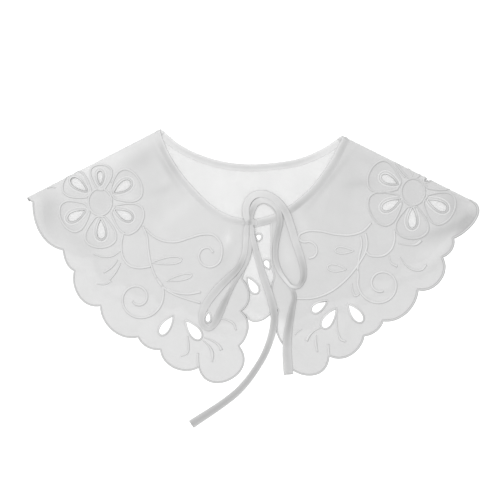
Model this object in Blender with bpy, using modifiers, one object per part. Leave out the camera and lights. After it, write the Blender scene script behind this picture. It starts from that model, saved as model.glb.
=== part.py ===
"""A white sheer cape collar with cutwork, folded along both shoulders and laid flat.

The back lies on the surface and the two fronts lie on it, each turned over a rounded
shoulder fold. The neck is bound, and the binding's ends are tied in a loose bow.
Tables are in millimetres about the collar's own middle, with X to the right, Y towards
the back neck and Z up from the surface. The model itself is in metres.
"""

import math

import bmesh
import bpy
import numpy as np
from mathutils import Vector, geometry

MODEL_NAME = "cape_collar"
MM = 0.001
# The middle of the collar's own box, in the tables' millimetres.
MIDDLE = Vector((-0.03, 0.63))

# Finishes
SHEER_TONE = 0.90
BINDING_TONE = 0.72
CLOTH_ROUGHNESS = 0.55

# Cloth and seams
CLOTH = 1.0
SEAM_GAP = 0.3
LAYER = CLOTH + SEAM_GAP
BINDING_WIDTH = 6.2
BINDING_EDGE = 0.1
BINDING_CROWN = 0.4
BINDING_COVERED = 40.0
BINDING_FREE = 80.0

# Shoulder folds
FOLD_RADIUS = 0.9
FOLD_REACH = FOLD_RADIUS + CLOTH / 2
FOLD_STEPS = 5
FOLD_MARGIN = 10.0
FOLD_EASE = 14.0
FOLD_HOLD = 5.0
UNDER_RETURN = 3.0
UNDER_LENGTH = math.pi * FOLD_RADIUS + UNDER_RETURN
BACK_INSET = FOLD_REACH + UNDER_RETURN + SEAM_GAP

# The drop of the fronts past the back's hem
NECK_CENTRE = Vector((0.0, 110.0))
DROP_CLEARANCE = 3.0
DROP_LENGTH = 9.0
REACH_WINDOW = 4.0
REACH_STEPS = 36

# Stitched relief
RIM_WIDTH = 1.8
RIM_RAISE = 0.35
PETAL_RAISE = 0.4
PETAL_SLOPE = 0.8
PETAL_FULL = 0.9

# Spacing of the points that carry the cloth's shape
LOBE_STEP = 3.6
LINE_STEP = 7.0
FOLD_STEP = 12.0
CLOTH_STEP = 11.0
EDGE_CLEARANCE = 3.0
MERGE = 1e-4

# Flower: distances from its middle
DISC_RADIUS = (10.0, 11.0)
PETAL_DISTANCE = 24.5
PETAL_HALF_LENGTH = 14.0
PETAL_HALF_WIDTH = 11.5
RING_POINTS = 16
DROP_WIDEST = 4.0 / math.sqrt(27.0)

# Ties
TIE_THICKNESS = 1.0
TIE_SHOULDER = 0.7
TIE_STEP = 5.0
KNOT_MIDDLE = (-3.0, 30.1, 4.8)
KNOT_SIZE = (8.8, 6.3, 4.4)
KNOT_ROUND = 1.3
KNOT_SEGMENTS = 3

# Necklines, from the shoulder to the centre front or across the back
NECK_LEFT = (
    (-83.0, 115.0), (-78.0, 98.5), (-70.0, 83.5), (-61.0, 71.0), (-47.0, 55.5),
    (-34.0, 44.0), (-20.0, 36.5), (-8.0, 33.6),
)
NECK_RIGHT = (
    (81.0, 109.0), (76.5, 98.5), (70.0, 86.0), (61.0, 72.5), (52.0, 61.5),
    (41.0, 51.5), (30.0, 43.5), (16.5, 37.0), (2.0, 33.4),
)
NECK_BACK = (
    (-83.0, 115.0), (-65.0, 100.5), (-47.0, 91.5), (-29.0, 86.0), (-2.0, 83.0),
    (16.0, 84.0), (43.0, 88.5), (61.0, 96.0), (81.0, 109.0),
)

# Where the folds end, how the necklines slant under them, and the two centre edges.
LEFT_TIP = (-203.0, 53.5)
LEFT_SLANT = 0.45
RIGHT_SLANT = 0.68
LEFT_CENTRE = ((-4.0, 28.0), (-4.0, -5.0))
RIGHT_CENTRE = ((16.5, 30.5), (16.5, -7.0))

# Scallops: each row is a lobe's notch and two places on its round, up to the next notch.
LEFT_HEM = (
    # notch x, notch y, first x, first y, second x, second y
    (-197.5, 49.0, -196.0, 33.0, -184.0, 12.5),
    (-170.5, 6.0, -169.0, -1.5, -165.0, -9.5),
    (-160.5, -13.0, -160.5, -26.5, -151.5, -41.0),
    (-137.0, -44.5, -132.0, -60.0, -119.0, -71.0),
    (-103.0, -72.5, -98.5, -79.0, -91.5, -83.0),
    (-83.0, -84.0, -77.0, -96.0, -63.5, -102.5),
    (-48.5, -100.0, -35.0, -113.5, -12.0, -104.5),
    (-12.0, -80.5, -5.0, -70.0, -5.0, -56.0),
    (-10.5, -49.0, -3.5, -40.0, -4.0, -28.5),
)
LEFT_HEM_END = (-9.5, -20.0)
RIGHT_TIP = (196.0, 51.5)
RIGHT_HEM = (
    (196.0, 51.5, 203.0, 42.0, 194.0, 25.0),
    (180.5, 16.5, 181.0, 11.0, 177.5, 4.0),
    (170.5, -0.5, 173.0, -12.0, 164.0, -26.5),
    (149.0, -30.0, 144.5, -43.5, 133.5, -54.5),
    (117.5, -58.0, 114.0, -64.5, 108.5, -69.0),
    (100.5, -71.5, 95.0, -83.0, 83.0, -91.0),
    (69.0, -89.5, 56.0, -106.5, 34.0, -100.5),
    (28.5, -80.5, 22.0, -69.0, 21.0, -59.0),
    (23.0, -48.0, 18.0, -41.0, 17.0, -27.5),
)
RIGHT_HEM_END = (19.5, -18.5)
BACK_HEM = (
    (-187.5, 45.5, -187.0, 29.0, -179.5, 15.0),
    (-169.5, 7.5, -162.5, 2.0, -151.5, -0.5),
    (-142.0, 0.5, -140.0, -15.0, -130.0, -25.0),
    (-115.5, -22.0, -109.5, -32.0, -99.5, -35.5),
    (-89.5, -32.0, -84.5, -41.5, -74.0, -46.5),
    (-64.0, -42.5, -57.0, -50.5, -47.0, -52.5),
    (-37.0, -48.5, -31.0, -57.0, -17.5, -60.0),
    (-6.0, -52.5, 0.5, -58.5, 11.0, -56.0),
    (18.5, -48.0, 27.5, -56.0, 42.0, -56.0),
    (53.5, -44.5, 63.0, -41.0, 73.5, -39.8),
    (81.5, -35.5, 91.5, -36.5, 102.0, -30.0),
    (111.0, -19.5, 122.0, -21.0, 131.0, -14.0),
    (138.0, -5.0, 149.0, -5.0, 160.5, 2.0),
    (167.0, 10.5, 176.0, 18.5, 182.0, 31.0),
)
BACK_HEM_END = (184.0, 43.0)

# Soft folds that stand up from the fronts
LEFT_CREASES = (
    # x, y, heading in degrees, half length, half width, height
    (-84.0, 78.0, 205.0, 26.0, 8.0, 1.1),
    (-104.0, 30.0, 235.0, 30.0, 10.0, 0.8),
    (-66.0, 2.0, 190.0, 24.0, 9.0, 0.6),
)
RIGHT_CREASES = (
    (88.0, 72.0, -50.0, 24.0, 8.0, 0.9),
    (188.0, 36.0, 20.0, 18.0, 6.0, 1.0),
    (100.0, 18.0, -80.0, 26.0, 9.0, 0.7),
)

# Cut eyelets: tip, round end and width
LEFT_EYELETS = (
    # tip x, tip y, round x, round y, width
    (-71.5, -53.5, -83.0, -70.0, 8.0),
    (-60.0, -58.0, -47.0, -74.0, 9.0),
    (-39.5, -50.0, -40.5, -59.0, 5.0),
)
RIGHT_EYELETS = (
    (67.0, -40.0, 53.5, -49.5, 7.5),
    (75.0, -47.0, 63.5, -64.0, 8.5),
    (86.0, -43.0, 98.5, -58.5, 8.5),
    (153.5, 67.0, 160.5, 71.4, 4.2),
)
BACK_EYELETS = (
    (5.6, 14.2, 5.4, 20.0, 4.8),
    (15.0, -10.8, 11.2, -3.4, 5.2),
    (-4.5, -19.0, 4.0, -32.5, 7.4),
    (-22.0, 21.5, -22.0, 12.0, 4.8),
)

# Flowers: the middle, and each petal's heading with its cut eyelet's near end, far end and width
LEFT_FLOWER = (-137.0, 49.0)
LEFT_PETALS = (
    # heading in degrees, near, far, width
    (34.0, 15.0, 33.0, 8.5),
    (90.0, 15.5, 28.0, 5.6),
    (141.0, 15.5, 33.5, 8.0),
    (209.0, 15.5, 33.0, 8.0),
    (272.0, 15.5, 33.5, 7.8),
    (332.0, 15.0, 32.5, 8.2),
)
RIGHT_FLOWER = (144.5, 58.0)
RIGHT_PETALS = (
    (153.0, 16.0, 32.0, 7.4),
    (209.0, 14.0, 31.8, 7.8),
    (268.0, 14.0, 32.5, 8.0),
    (332.0, 15.0, 34.0, 8.2),
)

# Ties: each row is a place on the route, the underside's height and the width there.
LEFT_LOOP = (
    # x, y, underside, width
    (-5.2, 26.6, 4.4, 4.6), (-6.0, 15.0, 4.4, 5.0), (-7.5, 1.5, 4.4, 5.0),
    (-13.0, -10.5, 4.4, 5.5), (-22.0, -19.5, 4.0, 6.5), (-33.0, -31.0, 3.1, 7.5),
    (-41.0, -42.0, 2.8, 7.0), (-45.5, -52.5, 2.7, 6.0), (-44.5, -61.0, 2.7, 5.0),
    (-39.6, -64.5, 2.7, 5.0), (-34.5, -60.5, 2.7, 6.0), (-30.0, -52.0, 2.8, 6.5),
    (-25.5, -42.0, 3.0, 5.5), (-20.0, -31.0, 3.1, 3.6), (-14.0, -20.0, 3.1, 3.2),
    (-7.0, -8.5, 3.1, 3.4), (-3.0, 4.0, 3.1, 4.0), (-2.4, 15.0, 3.1, 4.4),
    (-2.6, 26.6, 3.1, 4.6),
)
RIGHT_LOOP = (
    (-5.0, 33.7, 5.7, 4.6), (-6.0, 43.0, 5.7, 5.0), (-3.0, 51.0, 5.7, 5.0),
    (3.0, 55.5, 5.7, 5.0), (10.5, 56.0, 5.7, 5.2), (18.5, 52.5, 5.7, 5.4),
    (25.0, 47.0, 5.7, 5.4), (30.0, 39.5, 5.6, 5.6), (34.0, 28.5, 4.4, 6.0),
    (39.0, 12.0, 3.1, 6.4), (43.5, -1.5, 3.0, 6.4), (46.0, -13.0, 3.0, 5.6),
    (45.0, -21.5, 3.6, 4.6), (41.0, -27.0, 4.4, 3.2), (35.5, -27.0, 4.4, 3.0),
    (30.0, -21.5, 4.4, 3.6), (24.0, -12.5, 4.4, 4.2), (20.6, -2.0, 4.4, 4.6),
    (20.6, 9.5, 4.4, 4.8), (23.0, 22.0, 4.4, 4.8), (24.8, 33.0, 4.4, 4.8),
    (22.6, 42.0, 4.4, 4.8), (17.2, 48.0, 4.4, 4.8), (10.5, 50.8, 4.4, 4.8),
    (4.0, 48.8, 4.4, 4.8), (0.3, 43.4, 4.4, 4.6), (-1.4, 38.4, 4.4, 4.4),
    (-2.0, 33.7, 4.4, 4.2),
)
RIGHT_TAIL = (
    (-2.0, 33.7, 3.1, 4.0), (-1.2, 38.6, 3.1, 4.2), (1.0, 44.0, 3.1, 4.4),
    (5.0, 48.0, 3.1, 4.4), (10.5, 49.6, 3.1, 4.4), (16.5, 46.8, 3.1, 4.4),
    (21.8, 41.0, 3.1, 4.4), (24.0, 33.0, 3.1, 4.4), (22.6, 22.0, 3.1, 4.4),
    (20.4, 9.5, 3.1, 4.4), (20.4, -2.0, 3.1, 4.2), (23.8, -12.0, 3.1, 4.0),
    (29.4, -20.8, 3.1, 3.8), (35.4, -28.6, 3.1, 3.4), (37.6, -36.5, 3.1, 4.0),
    (35.6, -46.5, 3.1, 5.2), (33.5, -58.0, 2.8, 6.4), (31.5, -71.5, 1.8, 7.4),
    (31.0, -84.0, 1.5, 8.0), (31.5, -96.0, 1.4, 8.4), (32.4, -106.0, 1.4, 8.6),
)
LEFT_TAIL = (
    (-0.8, 26.6, 5.7, 3.8), (-0.3, 19.5, 5.7, 4.4), (1.9, 9.5, 5.2, 5.0),
    (4.9, -1.5, 4.0, 5.6), (7.9, -12.0, 3.1, 6.0), (11.8, -24.0, 3.1, 6.4),
    (15.8, -35.5, 3.1, 6.6), (18.7, -46.5, 3.1, 6.8), (19.6, -56.0, 3.0, 6.6),
    (18.0, -67.0, 2.4, 6.2), (14.5, -79.0, 1.2, 6.0), (9.5, -90.5, 0.5, 6.0),
    (2.5, -102.0, 0.3, 6.0), (-5.5, -113.0, 0.3, 6.2), (-15.0, -123.0, 0.3, 6.4),
    (-26.5, -132.0, 0.3, 6.6), (-39.0, -140.5, 0.3, 7.0), (-49.0, -147.0, 0.3, 7.4),
    (-55.0, -151.0, 0.3, 7.6),
)


def smoothstep(value):
    """Ease from 0 to 1 as the value goes from 0 to 1."""
    clipped = min(max(value, 0.0), 1.0)
    return clipped * clipped * (3.0 - 2.0 * clipped)


def smooth_rows(rows, step):
    """Rows about every step along a curve that passes through all the given rows.

    The first two columns are the place, and the others follow with them.
    """
    table = np.array(rows, dtype=float)
    spans = np.linalg.norm(np.diff(table[:, :2], axis=0), axis=1)
    knots = np.concatenate(([0.0], np.cumsum(spans)))
    slopes = np.gradient(table, knots, axis=0)
    result = []
    for index, span in enumerate(spans):
        count = max(1, round(span / step))
        for part in range(count):
            t = part / count
            hermite = (
                2 * t**3 - 3 * t**2 + 1, t**3 - 2 * t**2 + t,
                3 * t**2 - 2 * t**3, t**3 - t**2,
            )
            result.append(
                hermite[0] * table[index] + hermite[1] * span * slopes[index]
                + hermite[2] * table[index + 1] + hermite[3] * span * slopes[index + 1]
            )
    result.append(table[-1])
    return result


def smooth_line(points, step):
    """A plane curve through the given points, as 2D vectors."""
    return [Vector((row[0], row[1])) for row in smooth_rows(points, step)]


def lobe(places):
    """A scallop: the cubic through its notch, two places on its round and its end."""
    places = [Vector(place) for place in places]
    knots = [0.0]
    for near, far in zip(places, places[1:]):
        knots.append(knots[-1] + (far - near).length)
    steps = round(knots[-1] / LOBE_STEP)
    line = []
    for step in range(steps):
        at = knots[-1] * step / steps
        spot = Vector((0.0, 0.0))
        for index, place in enumerate(places):
            weight = 1.0
            for other, knot in enumerate(knots):
                if other != index:
                    weight *= (at - knot) / (knots[index] - knot)
            spot += place * weight
        line.append(spot)
    return line


def hem_line(rows, end):
    """All the scallops of one hem in order, from its first notch to its end."""
    line = []
    for index, row in enumerate(rows):
        following = rows[index + 1][:2] if index + 1 < len(rows) else end
        line += lobe((row[:2], row[2:4], row[4:6], following))
    line.append(Vector(end))
    return line


def offset_line(line, distance):
    """A line moved sideways: to its left where the distance is above zero."""
    moved = []
    for index, spot in enumerate(line):
        ahead = line[min(index + 1, len(line) - 1)]
        behind = line[max(index - 1, 0)]
        heading = (ahead - behind).normalized()
        moved.append(spot + Vector((-heading.y, heading.x)) * distance)
    return moved


def teardrop(tip, end, width, points=RING_POINTS):
    """A closed drop with a sharp tip and a round end."""
    tip = Vector(tip)
    axis = Vector(end) - tip
    side = Vector((-axis.y, axis.x)).normalized()
    ring = []
    for index in range(points):
        angle = 2 * math.pi * index / points
        along = (1 - math.cos(angle)) / 2
        across = math.sin(angle) * math.sin(angle / 2) / DROP_WIDEST * width / 2
        ring.append(tip + axis * along + side * across)
    return ring


def oval(middle, half_length, half_width, heading, points=RING_POINTS):
    """A closed oval whose long side lies along the heading, in degrees."""
    along = Vector((math.cos(math.radians(heading)), math.sin(math.radians(heading))))
    across = Vector((-along.y, along.x))
    ring = []
    for index in range(points):
        angle = 2 * math.pi * index / points
        ring.append(Vector(middle) + along * half_length * math.cos(angle)
                    + across * half_width * math.sin(angle))
    return ring


def inside(spot, ring):
    """Whether a spot lies inside a closed ring."""
    within = False
    for near, far in zip(ring, ring[1:] + ring[:1]):
        if (near.y > spot.y) != (far.y > spot.y):
            crossing = near.x + (spot.y - near.y) * (far.x - near.x) / (far.y - near.y)
            if spot.x < crossing:
                within = not within
    return within


def distance_to(spot, line):
    """The distance from a spot to an open line."""
    nearest = math.inf
    for near, far in zip(line, line[1:]):
        run = far - near
        share = max(0.0, min(1.0, (spot - near).dot(run) / run.length_squared))
        nearest = min(nearest, (spot - near - run * share).length)
    return nearest


class Fold:
    """The rounded fold along a shoulder, from the neck to the tip.

    A spot of the flat cloth keeps its place on the top layer. Past the start of the
    fold it follows the turn, and then lies on the surface under the top layer.
    """

    def __init__(self, neck, tip):
        self.neck = Vector(neck)
        self.tip = Vector(tip)
        self.along = (self.tip - self.neck).normalized()
        across = Vector((-self.along.y, self.along.x))
        self.inward = across if across.y < 0 else -across

    def depth(self, spot):
        """How far a spot lies from the start of the turn, above zero on the top layer."""
        return (spot - self.neck).dot(self.inward) - FOLD_REACH

    def at_depth(self, spot, depth):
        """The spot moved straight across the fold to the given depth."""
        return spot + self.inward * (depth - self.depth(spot))

    def place(self, spot, outward, lift):
        """Where a point of the cloth lies, outward of the cloth's middle."""
        turn = -self.depth(spot)
        if turn <= 0.0:
            return Vector((spot.x, spot.y, CLOTH / 2 + lift + outward))
        angle = min(turn / FOLD_RADIUS, math.pi)
        past = turn - angle * FOLD_RADIUS
        reach = math.sin(angle) * (FOLD_RADIUS + outward) - past
        height = CLOTH / 2 + FOLD_RADIUS + math.cos(angle) * (FOLD_RADIUS + outward)
        flat = self.at_depth(spot, -reach)
        return Vector((flat.x, flat.y, height))

    def rows(self):
        """Lines along the fold, from the start of the turn to its end."""
        margin = self.along * FOLD_MARGIN
        length = (self.tip - self.neck).length + 2 * FOLD_MARGIN
        count = round(length / FOLD_STEP)
        lines = []
        for step in range(FOLD_STEPS + 1):
            depth = -math.pi * FOLD_RADIUS * step / FOLD_STEPS
            start = self.at_depth(self.neck - margin, depth)
            lines.append([start + self.along * length * i / count for i in range(count + 1)])
        return lines


class BackReach:
    """How far the back's hem reaches from the neck, as a smooth line past its lobes."""

    def __init__(self, hem):
        polar = [self.polar(spot) for spot in hem]
        angles = np.linspace(polar[0][0], polar[-1][0], REACH_STEPS)
        self.angles = angles
        self.reaches = []
        for angle in angles:
            near = [reach for at, reach in polar if abs(at - angle) < REACH_WINDOW]
            self.reaches.append(max(near) + DROP_CLEARANCE)

    @staticmethod
    def polar(spot):
        """A spot's heading in degrees and its distance from the middle of the neck."""
        away = spot - NECK_CENTRE
        return math.degrees(math.atan2(away.y, away.x)), away.length

    def overhang(self, spot):
        """How far a spot lies outside the line, below zero over the back."""
        angle, distance = self.polar(spot)
        return distance - float(np.interp(angle, self.angles, self.reaches))

    def line(self):
        """The line itself, which the fronts bend along."""
        points = []
        for angle, reach in zip(self.angles, self.reaches):
            turned = math.radians(angle)
            points.append(NECK_CENTRE + Vector((math.cos(turned), math.sin(turned))) * reach)
        return points


def crease_height(spot, creases):
    """The height of the soft folds at a spot."""
    height = 0.0
    for x, y, heading, half_length, half_width, top in creases:
        away = spot - Vector((x, y))
        angle = math.radians(heading)
        along = (away.x * math.cos(angle) + away.y * math.sin(angle)) / half_length
        across = (away.y * math.cos(angle) - away.x * math.sin(angle)) / half_width
        height += top * math.exp(-along * along - across * across)
    return height


def front_lift(spot, fold, reach, creases):
    """How far a front is lifted off the surface by the back, its fold and its creases."""
    depth = fold.depth(spot)
    over_back = 1.0 - smoothstep(reach.overhang(spot) / DROP_LENGTH)
    beside_fold = 1.0 - smoothstep((depth - FOLD_HOLD) / DROP_LENGTH)
    lift = LAYER * max(over_back, beside_fold)
    lift += (2 * FOLD_RADIUS - LAYER) * (1.0 - smoothstep(depth / FOLD_EASE))
    return lift + crease_height(spot, creases) * smoothstep(depth / FOLD_EASE)


def spread_points(ring, avoid):
    """Evenly spread points inside a ring, clear of the lines to avoid."""
    low_x = min(spot.x for spot in ring)
    high_x = max(spot.x for spot in ring)
    low_y = min(spot.y for spot in ring)
    high_y = max(spot.y for spot in ring)
    points = []
    row = 0
    y = low_y
    while y < high_y:
        x = low_x + (CLOTH_STEP / 2 if row % 2 else 0.0)
        while x < high_x:
            spot = Vector((x, y))
            clear = all(distance_to(spot, line) > EDGE_CLEARANCE for line in avoid)
            if clear and inside(spot, ring):
                points.append(spot)
            x += CLOTH_STEP
        y += CLOTH_STEP * math.sqrt(0.75)
        row += 1
    return points


def triangulate(ring, holes, guides, loose):
    """Spots and triangles of the cloth inside a ring, with its holes left open."""
    spots = []
    edges = []
    for chain, closed in [(ring, True)] + [(h, True) for h in holes] + guides:
        first = len(spots)
        spots += chain
        edges += [(i, i + 1) for i in range(first, len(spots) - 1)]
        if closed:
            edges.append((len(spots) - 1, first))
    spots += loose
    result = geometry.delaunay_2d_cdt(spots, edges, [], 0, MERGE)
    found, faces = result[0], result[2]
    kept = []
    for face in faces:
        middle = sum((found[i] for i in face), Vector((0.0, 0.0))) / len(face)
        if inside(middle, ring) and not any(inside(middle, hole) for hole in holes):
            a, b, c = (found[i] for i in face)
            turned = (b - a).cross(c - a) < 0
            kept.append(tuple(reversed(face)) if turned else tuple(face))
    return found, kept


def cloth_solid(name, spots, faces, lower, upper):
    """A closed wall between the lower and upper place of each spot."""
    used = sorted({index for face in faces for index in face})
    mesh = bmesh.new()
    below = {i: mesh.verts.new(lower(spots[i]) * MM) for i in used}
    above = {i: mesh.verts.new(upper(spots[i]) * MM) for i in used}
    border = {}
    for face in faces:
        mesh.faces.new([above[i] for i in face])
        mesh.faces.new([below[i] for i in reversed(face)])
        for edge in zip(face, face[1:] + face[:1]):
            border[edge] = border.get(edge, 0) + 1
    for near, far in border:
        if (far, near) not in border:
            mesh.faces.new((above[near], below[near], below[far], above[far]))
    return finish(name, mesh)


def finish(name, mesh):
    """Turn a bmesh into a named object with its own material."""
    bmesh.ops.translate(mesh, verts=mesh.verts, vec=(-MIDDLE.x * MM, -MIDDLE.y * MM, 0.0))
    data = bpy.data.meshes.new(name)
    mesh.to_mesh(data)
    mesh.free()
    piece = bpy.data.objects.new(name, data)
    bpy.data.collections[MODEL_NAME].objects.link(piece)
    data.materials.append(white_cloth(name))
    return piece


def white_cloth(name):
    """A white cloth material: sheer on the panels, closer on the bound edge and ties."""
    tone = SHEER_TONE if name.startswith(("back", "front")) else BINDING_TONE
    material = bpy.data.materials.new(name + "_cloth")
    material.use_nodes = True
    shader = material.node_tree.nodes["Principled BSDF"]
    shader.inputs["Base Color"].default_value = (tone, tone, tone, 1.0)
    shader.inputs["Roughness"].default_value = CLOTH_ROUGHNESS
    shader.inputs["Metallic"].default_value = 0.0
    return material


def flower_rings(middle, petals, reduce=0.0):
    """The raised disc and petals of a flower, drawn in by the given amount."""
    rings = [oval(middle, DISC_RADIUS[0] - reduce, DISC_RADIUS[1] - reduce, 0.0)]
    for angle, _, _, _ in petals:
        away = Vector((math.cos(math.radians(angle)), math.sin(math.radians(angle))))
        rings.append(oval(Vector(middle) + away * PETAL_DISTANCE, PETAL_HALF_LENGTH - reduce,
                          PETAL_HALF_WIDTH - reduce, angle))
    return rings


def flower_eyelets(middle, petals):
    """The cut eyelet in each petal of a flower."""
    holes = []
    for angle, near, far, width in petals:
        away = Vector((math.cos(math.radians(angle)), math.sin(math.radians(angle))))
        holes.append(teardrop(Vector(middle) + away * near, Vector(middle) + away * far, width))
    return holes


def shoulder_neckline(points, fold, slant):
    """A front's neckline, carried round the fold to the back's neckline under it."""
    first = Vector(points[0])
    run = UNDER_LENGTH + fold.depth(first)
    under = first - fold.inward * run - fold.along * run * slant
    return smooth_line([tuple(under)] + list(points), LINE_STEP)


class Front:
    """One front: its panel and its neck binding, both turned over the shoulder fold."""

    def __init__(self, side, fold, neckline, hem, centre, reach, creases):
        self.side = side
        self.fold = fold
        self.neckline = neckline
        self.hem = hem
        self.centre = centre
        self.reach = reach
        self.creases = creases
        self.inner = -1.0 if side == "left" else 1.0

    def lift(self, spot):
        """How far this front is lifted off the surface at a spot."""
        return front_lift(spot, self.fold, self.reach, self.creases)

    def face_up(self, spot):
        """1 on the top layer, fading to 0 where the fold turns under."""
        return smoothstep(1.0 + self.fold.depth(spot) / FOLD_RADIUS)

    def solid(self, name, ring, holes, guides, raised, spread=True):
        """A wall of this front, with relief on its outer side only."""
        rows = [(row, False) for row in self.fold.rows()]
        chains = [chain for chain, _ in guides + rows]
        avoid = [ring + ring[:1]] + [h + h[:1] for h in holes] + chains
        loose = spread_points(ring, avoid) if spread else []
        spots, faces = triangulate(ring, holes, guides + rows, loose)

        def lower(spot):
            """The underside's place."""
            return self.fold.place(spot, -CLOTH / 2, self.lift(spot))

        def upper(spot):
            """The outer side's place."""
            relief = raised(spot) * self.face_up(spot)
            return self.fold.place(spot, CLOTH / 2 + relief, self.lift(spot))

        return cloth_solid(name, spots, faces, lower, upper)

    def panel(self, eyelets, flower, petals):
        """The panel, with its cut eyelets, raised flower and stitched rim."""
        neck = offset_line(self.neckline, self.inner * (BINDING_WIDTH + SEAM_GAP))
        neck[0] = self.fold.at_depth(neck[0], -UNDER_LENGTH)
        neck = [spot for spot in neck if self.fits_centre(spot)]
        under_tip = self.fold.at_depth(self.fold.tip, -UNDER_LENGTH)
        ring = neck + self.centre + self.hem[::-1] + [self.fold.tip, under_tip]
        if (self.hem[0] - self.fold.tip).length < SEAM_GAP:
            ring.remove(self.fold.tip)
        holes = [teardrop(row[:2], row[2:4], row[4]) for row in eyelets]
        holes += flower_eyelets(flower, petals)
        outer_rings = flower_rings(flower, petals)
        inner_rings = flower_rings(flower, petals, PETAL_SLOPE)
        rim = offset_line(self.hem, -self.inner * RIM_WIDTH)
        guides = [(r, True) for r in outer_rings + inner_rings]
        guides.append((rim[2:-2], False))
        guides.append((self.reach.line(), False))

        def raised(spot):
            """The height of the stitched rim and petals."""
            edge = RIM_RAISE * (1.0 - smoothstep(distance_to(spot, self.hem) / RIM_WIDTH))
            level = 0.0
            for outer, inner in zip(outer_rings, inner_rings):
                if inside(spot, outer):
                    gap = distance_to(spot, outer + outer[:1])
                    share = smoothstep(gap / (PETAL_SLOPE * PETAL_FULL))
                    level = max(level, PETAL_RAISE * share)
            return max(edge, level)

        return self.solid("front_" + self.side, ring, holes, guides, raised)

    def fits_centre(self, spot):
        """Whether a spot of the neck edge lies on this side of the centre edge."""
        return (spot.x - self.centre[0].x) * self.inner > -SEAM_GAP

    def binding(self):
        """The bound neck edge, a flat band with a crowned outer side."""
        band = offset_line(self.neckline, self.inner * BINDING_WIDTH)
        middle = offset_line(self.neckline, self.inner * BINDING_WIDTH / 2)
        outer_end = self.fold.at_depth(self.neckline[0], -UNDER_LENGTH)
        inner_end = self.fold.at_depth(band[0], -UNDER_LENGTH)
        ring = [outer_end] + self.neckline[1:] + band[:0:-1] + [inner_end]

        def raised(spot):
            """The height of the crown across the band."""
            edge = min(distance_to(spot, self.neckline), distance_to(spot, band))
            crown = smoothstep(edge / (BINDING_WIDTH / 2))
            return BINDING_EDGE + (BINDING_CROWN - BINDING_EDGE) * crown

        name = "neck_binding_" + self.side
        return self.solid(name, ring, [], [(middle, False)], raised, spread=False)


def back_neckline():
    """The back's neckline between the shoulder seams under the two folds."""
    return smooth_line(NECK_BACK, LINE_STEP)


def trim_to_folds(line, folds):
    """The stretch of a line that lies inside the back's edge at both folds."""
    limit = BACK_INSET - FOLD_REACH
    kept = [spot for spot in line if all(fold.depth(spot) > limit for fold in folds)]
    kept[0] = folds[0].at_depth(kept[0], limit)
    kept[-1] = folds[1].at_depth(kept[-1], limit)
    return kept


def flat_solid(name, ring, holes, guides, raised, spread=True):
    """A wall that lies flat on the surface."""
    avoid = [ring + ring[:1]] + [hole + hole[:1] for hole in holes]
    avoid += [chain for chain, _ in guides]
    loose = spread_points(ring, avoid) if spread else []
    spots, faces = triangulate(ring, holes, guides, loose)

    def lower(spot):
        """The underside's place."""
        return Vector((spot.x, spot.y, 0.0))

    def upper(spot):
        """The upper side's place."""
        return Vector((spot.x, spot.y, CLOTH + raised(spot)))

    return cloth_solid(name, spots, faces, lower, upper)


def back_panel(folds, hem):
    """The back, with its scalloped hem and cut eyelets."""
    neck = offset_line(back_neckline(), -(BINDING_WIDTH + SEAM_GAP))
    neck = trim_to_folds(neck, folds)
    limit = BACK_INSET - FOLD_REACH
    left_tip = folds[0].at_depth(hem[0], limit)
    right_tip = folds[1].at_depth(hem[-1], limit)
    ring = neck + [right_tip] + hem[::-1] + [left_tip]
    holes = [teardrop(row[:2], row[2:4], row[4]) for row in BACK_EYELETS]
    return flat_solid("back_panel", ring, holes, [], lambda spot: 0.0)


def back_binding(folds):
    """The bound edge of the back neck, crowned only where no front lies on it."""
    line = back_neckline()
    band = offset_line(line, -BINDING_WIDTH)
    middle = offset_line(line, -BINDING_WIDTH / 2)
    top = trim_to_folds(line, folds)
    low = trim_to_folds(band, folds)
    ring = top + low[::-1]

    def raised(spot):
        """The height of the crown, which fades out under the fronts."""
        clear = min(fold.depth(spot) for fold in folds)
        free = smoothstep((clear - BINDING_COVERED) / (BINDING_FREE - BINDING_COVERED))
        edge = min(distance_to(spot, line), distance_to(spot, band))
        return BINDING_CROWN * smoothstep(edge / (BINDING_WIDTH / 2)) * free

    return flat_solid("neck_binding_back", ring, [], [(middle, False)], raised, spread=False)


def tie(name, route):
    """A flat tie along its route, crowned on its upper side."""
    rows = smooth_rows(route, TIE_STEP)
    mesh = bmesh.new()
    sections = []
    for index, row in enumerate(rows):
        ahead = rows[min(index + 1, len(rows) - 1)]
        behind = rows[max(index - 1, 0)]
        heading = Vector((ahead[0] - behind[0], ahead[1] - behind[1])).normalized()
        side = Vector((-heading.y, heading.x, 0.0))
        middle = Vector((row[0], row[1], row[2]))
        half = side * row[3] / 2
        edge = Vector((0.0, 0.0, TIE_THICKNESS * TIE_SHOULDER))
        crown = Vector((0.0, 0.0, TIE_THICKNESS))
        corners = (
            middle + half, middle - half, middle - half + edge, middle + crown,
            middle + half + edge,
        )
        sections.append([mesh.verts.new(corner * MM) for corner in corners])
    for near, far in zip(sections, sections[1:]):
        for index, corner in enumerate(near):
            following = (index + 1) % len(near)
            mesh.faces.new((corner, far[index], far[following], near[following]))
    mesh.faces.new(sections[0])
    mesh.faces.new(sections[-1][::-1])
    bmesh.ops.recalc_face_normals(mesh, faces=mesh.faces)
    return finish(name, mesh)


def knot():
    """The bow's knot, a small rounded block over the left front's corner."""
    mesh = bmesh.new()
    bmesh.ops.create_cube(mesh, size=1.0)
    bmesh.ops.scale(mesh, verts=mesh.verts, vec=Vector(KNOT_SIZE) * MM)
    bmesh.ops.translate(mesh, verts=mesh.verts, vec=Vector(KNOT_MIDDLE) * MM)
    piece = finish("knot", mesh)
    bevel = piece.modifiers.new("rounded", "BEVEL")
    bevel.width = KNOT_ROUND * MM
    bevel.segments = KNOT_SEGMENTS
    piece.data.shade_smooth()
    return piece


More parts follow.
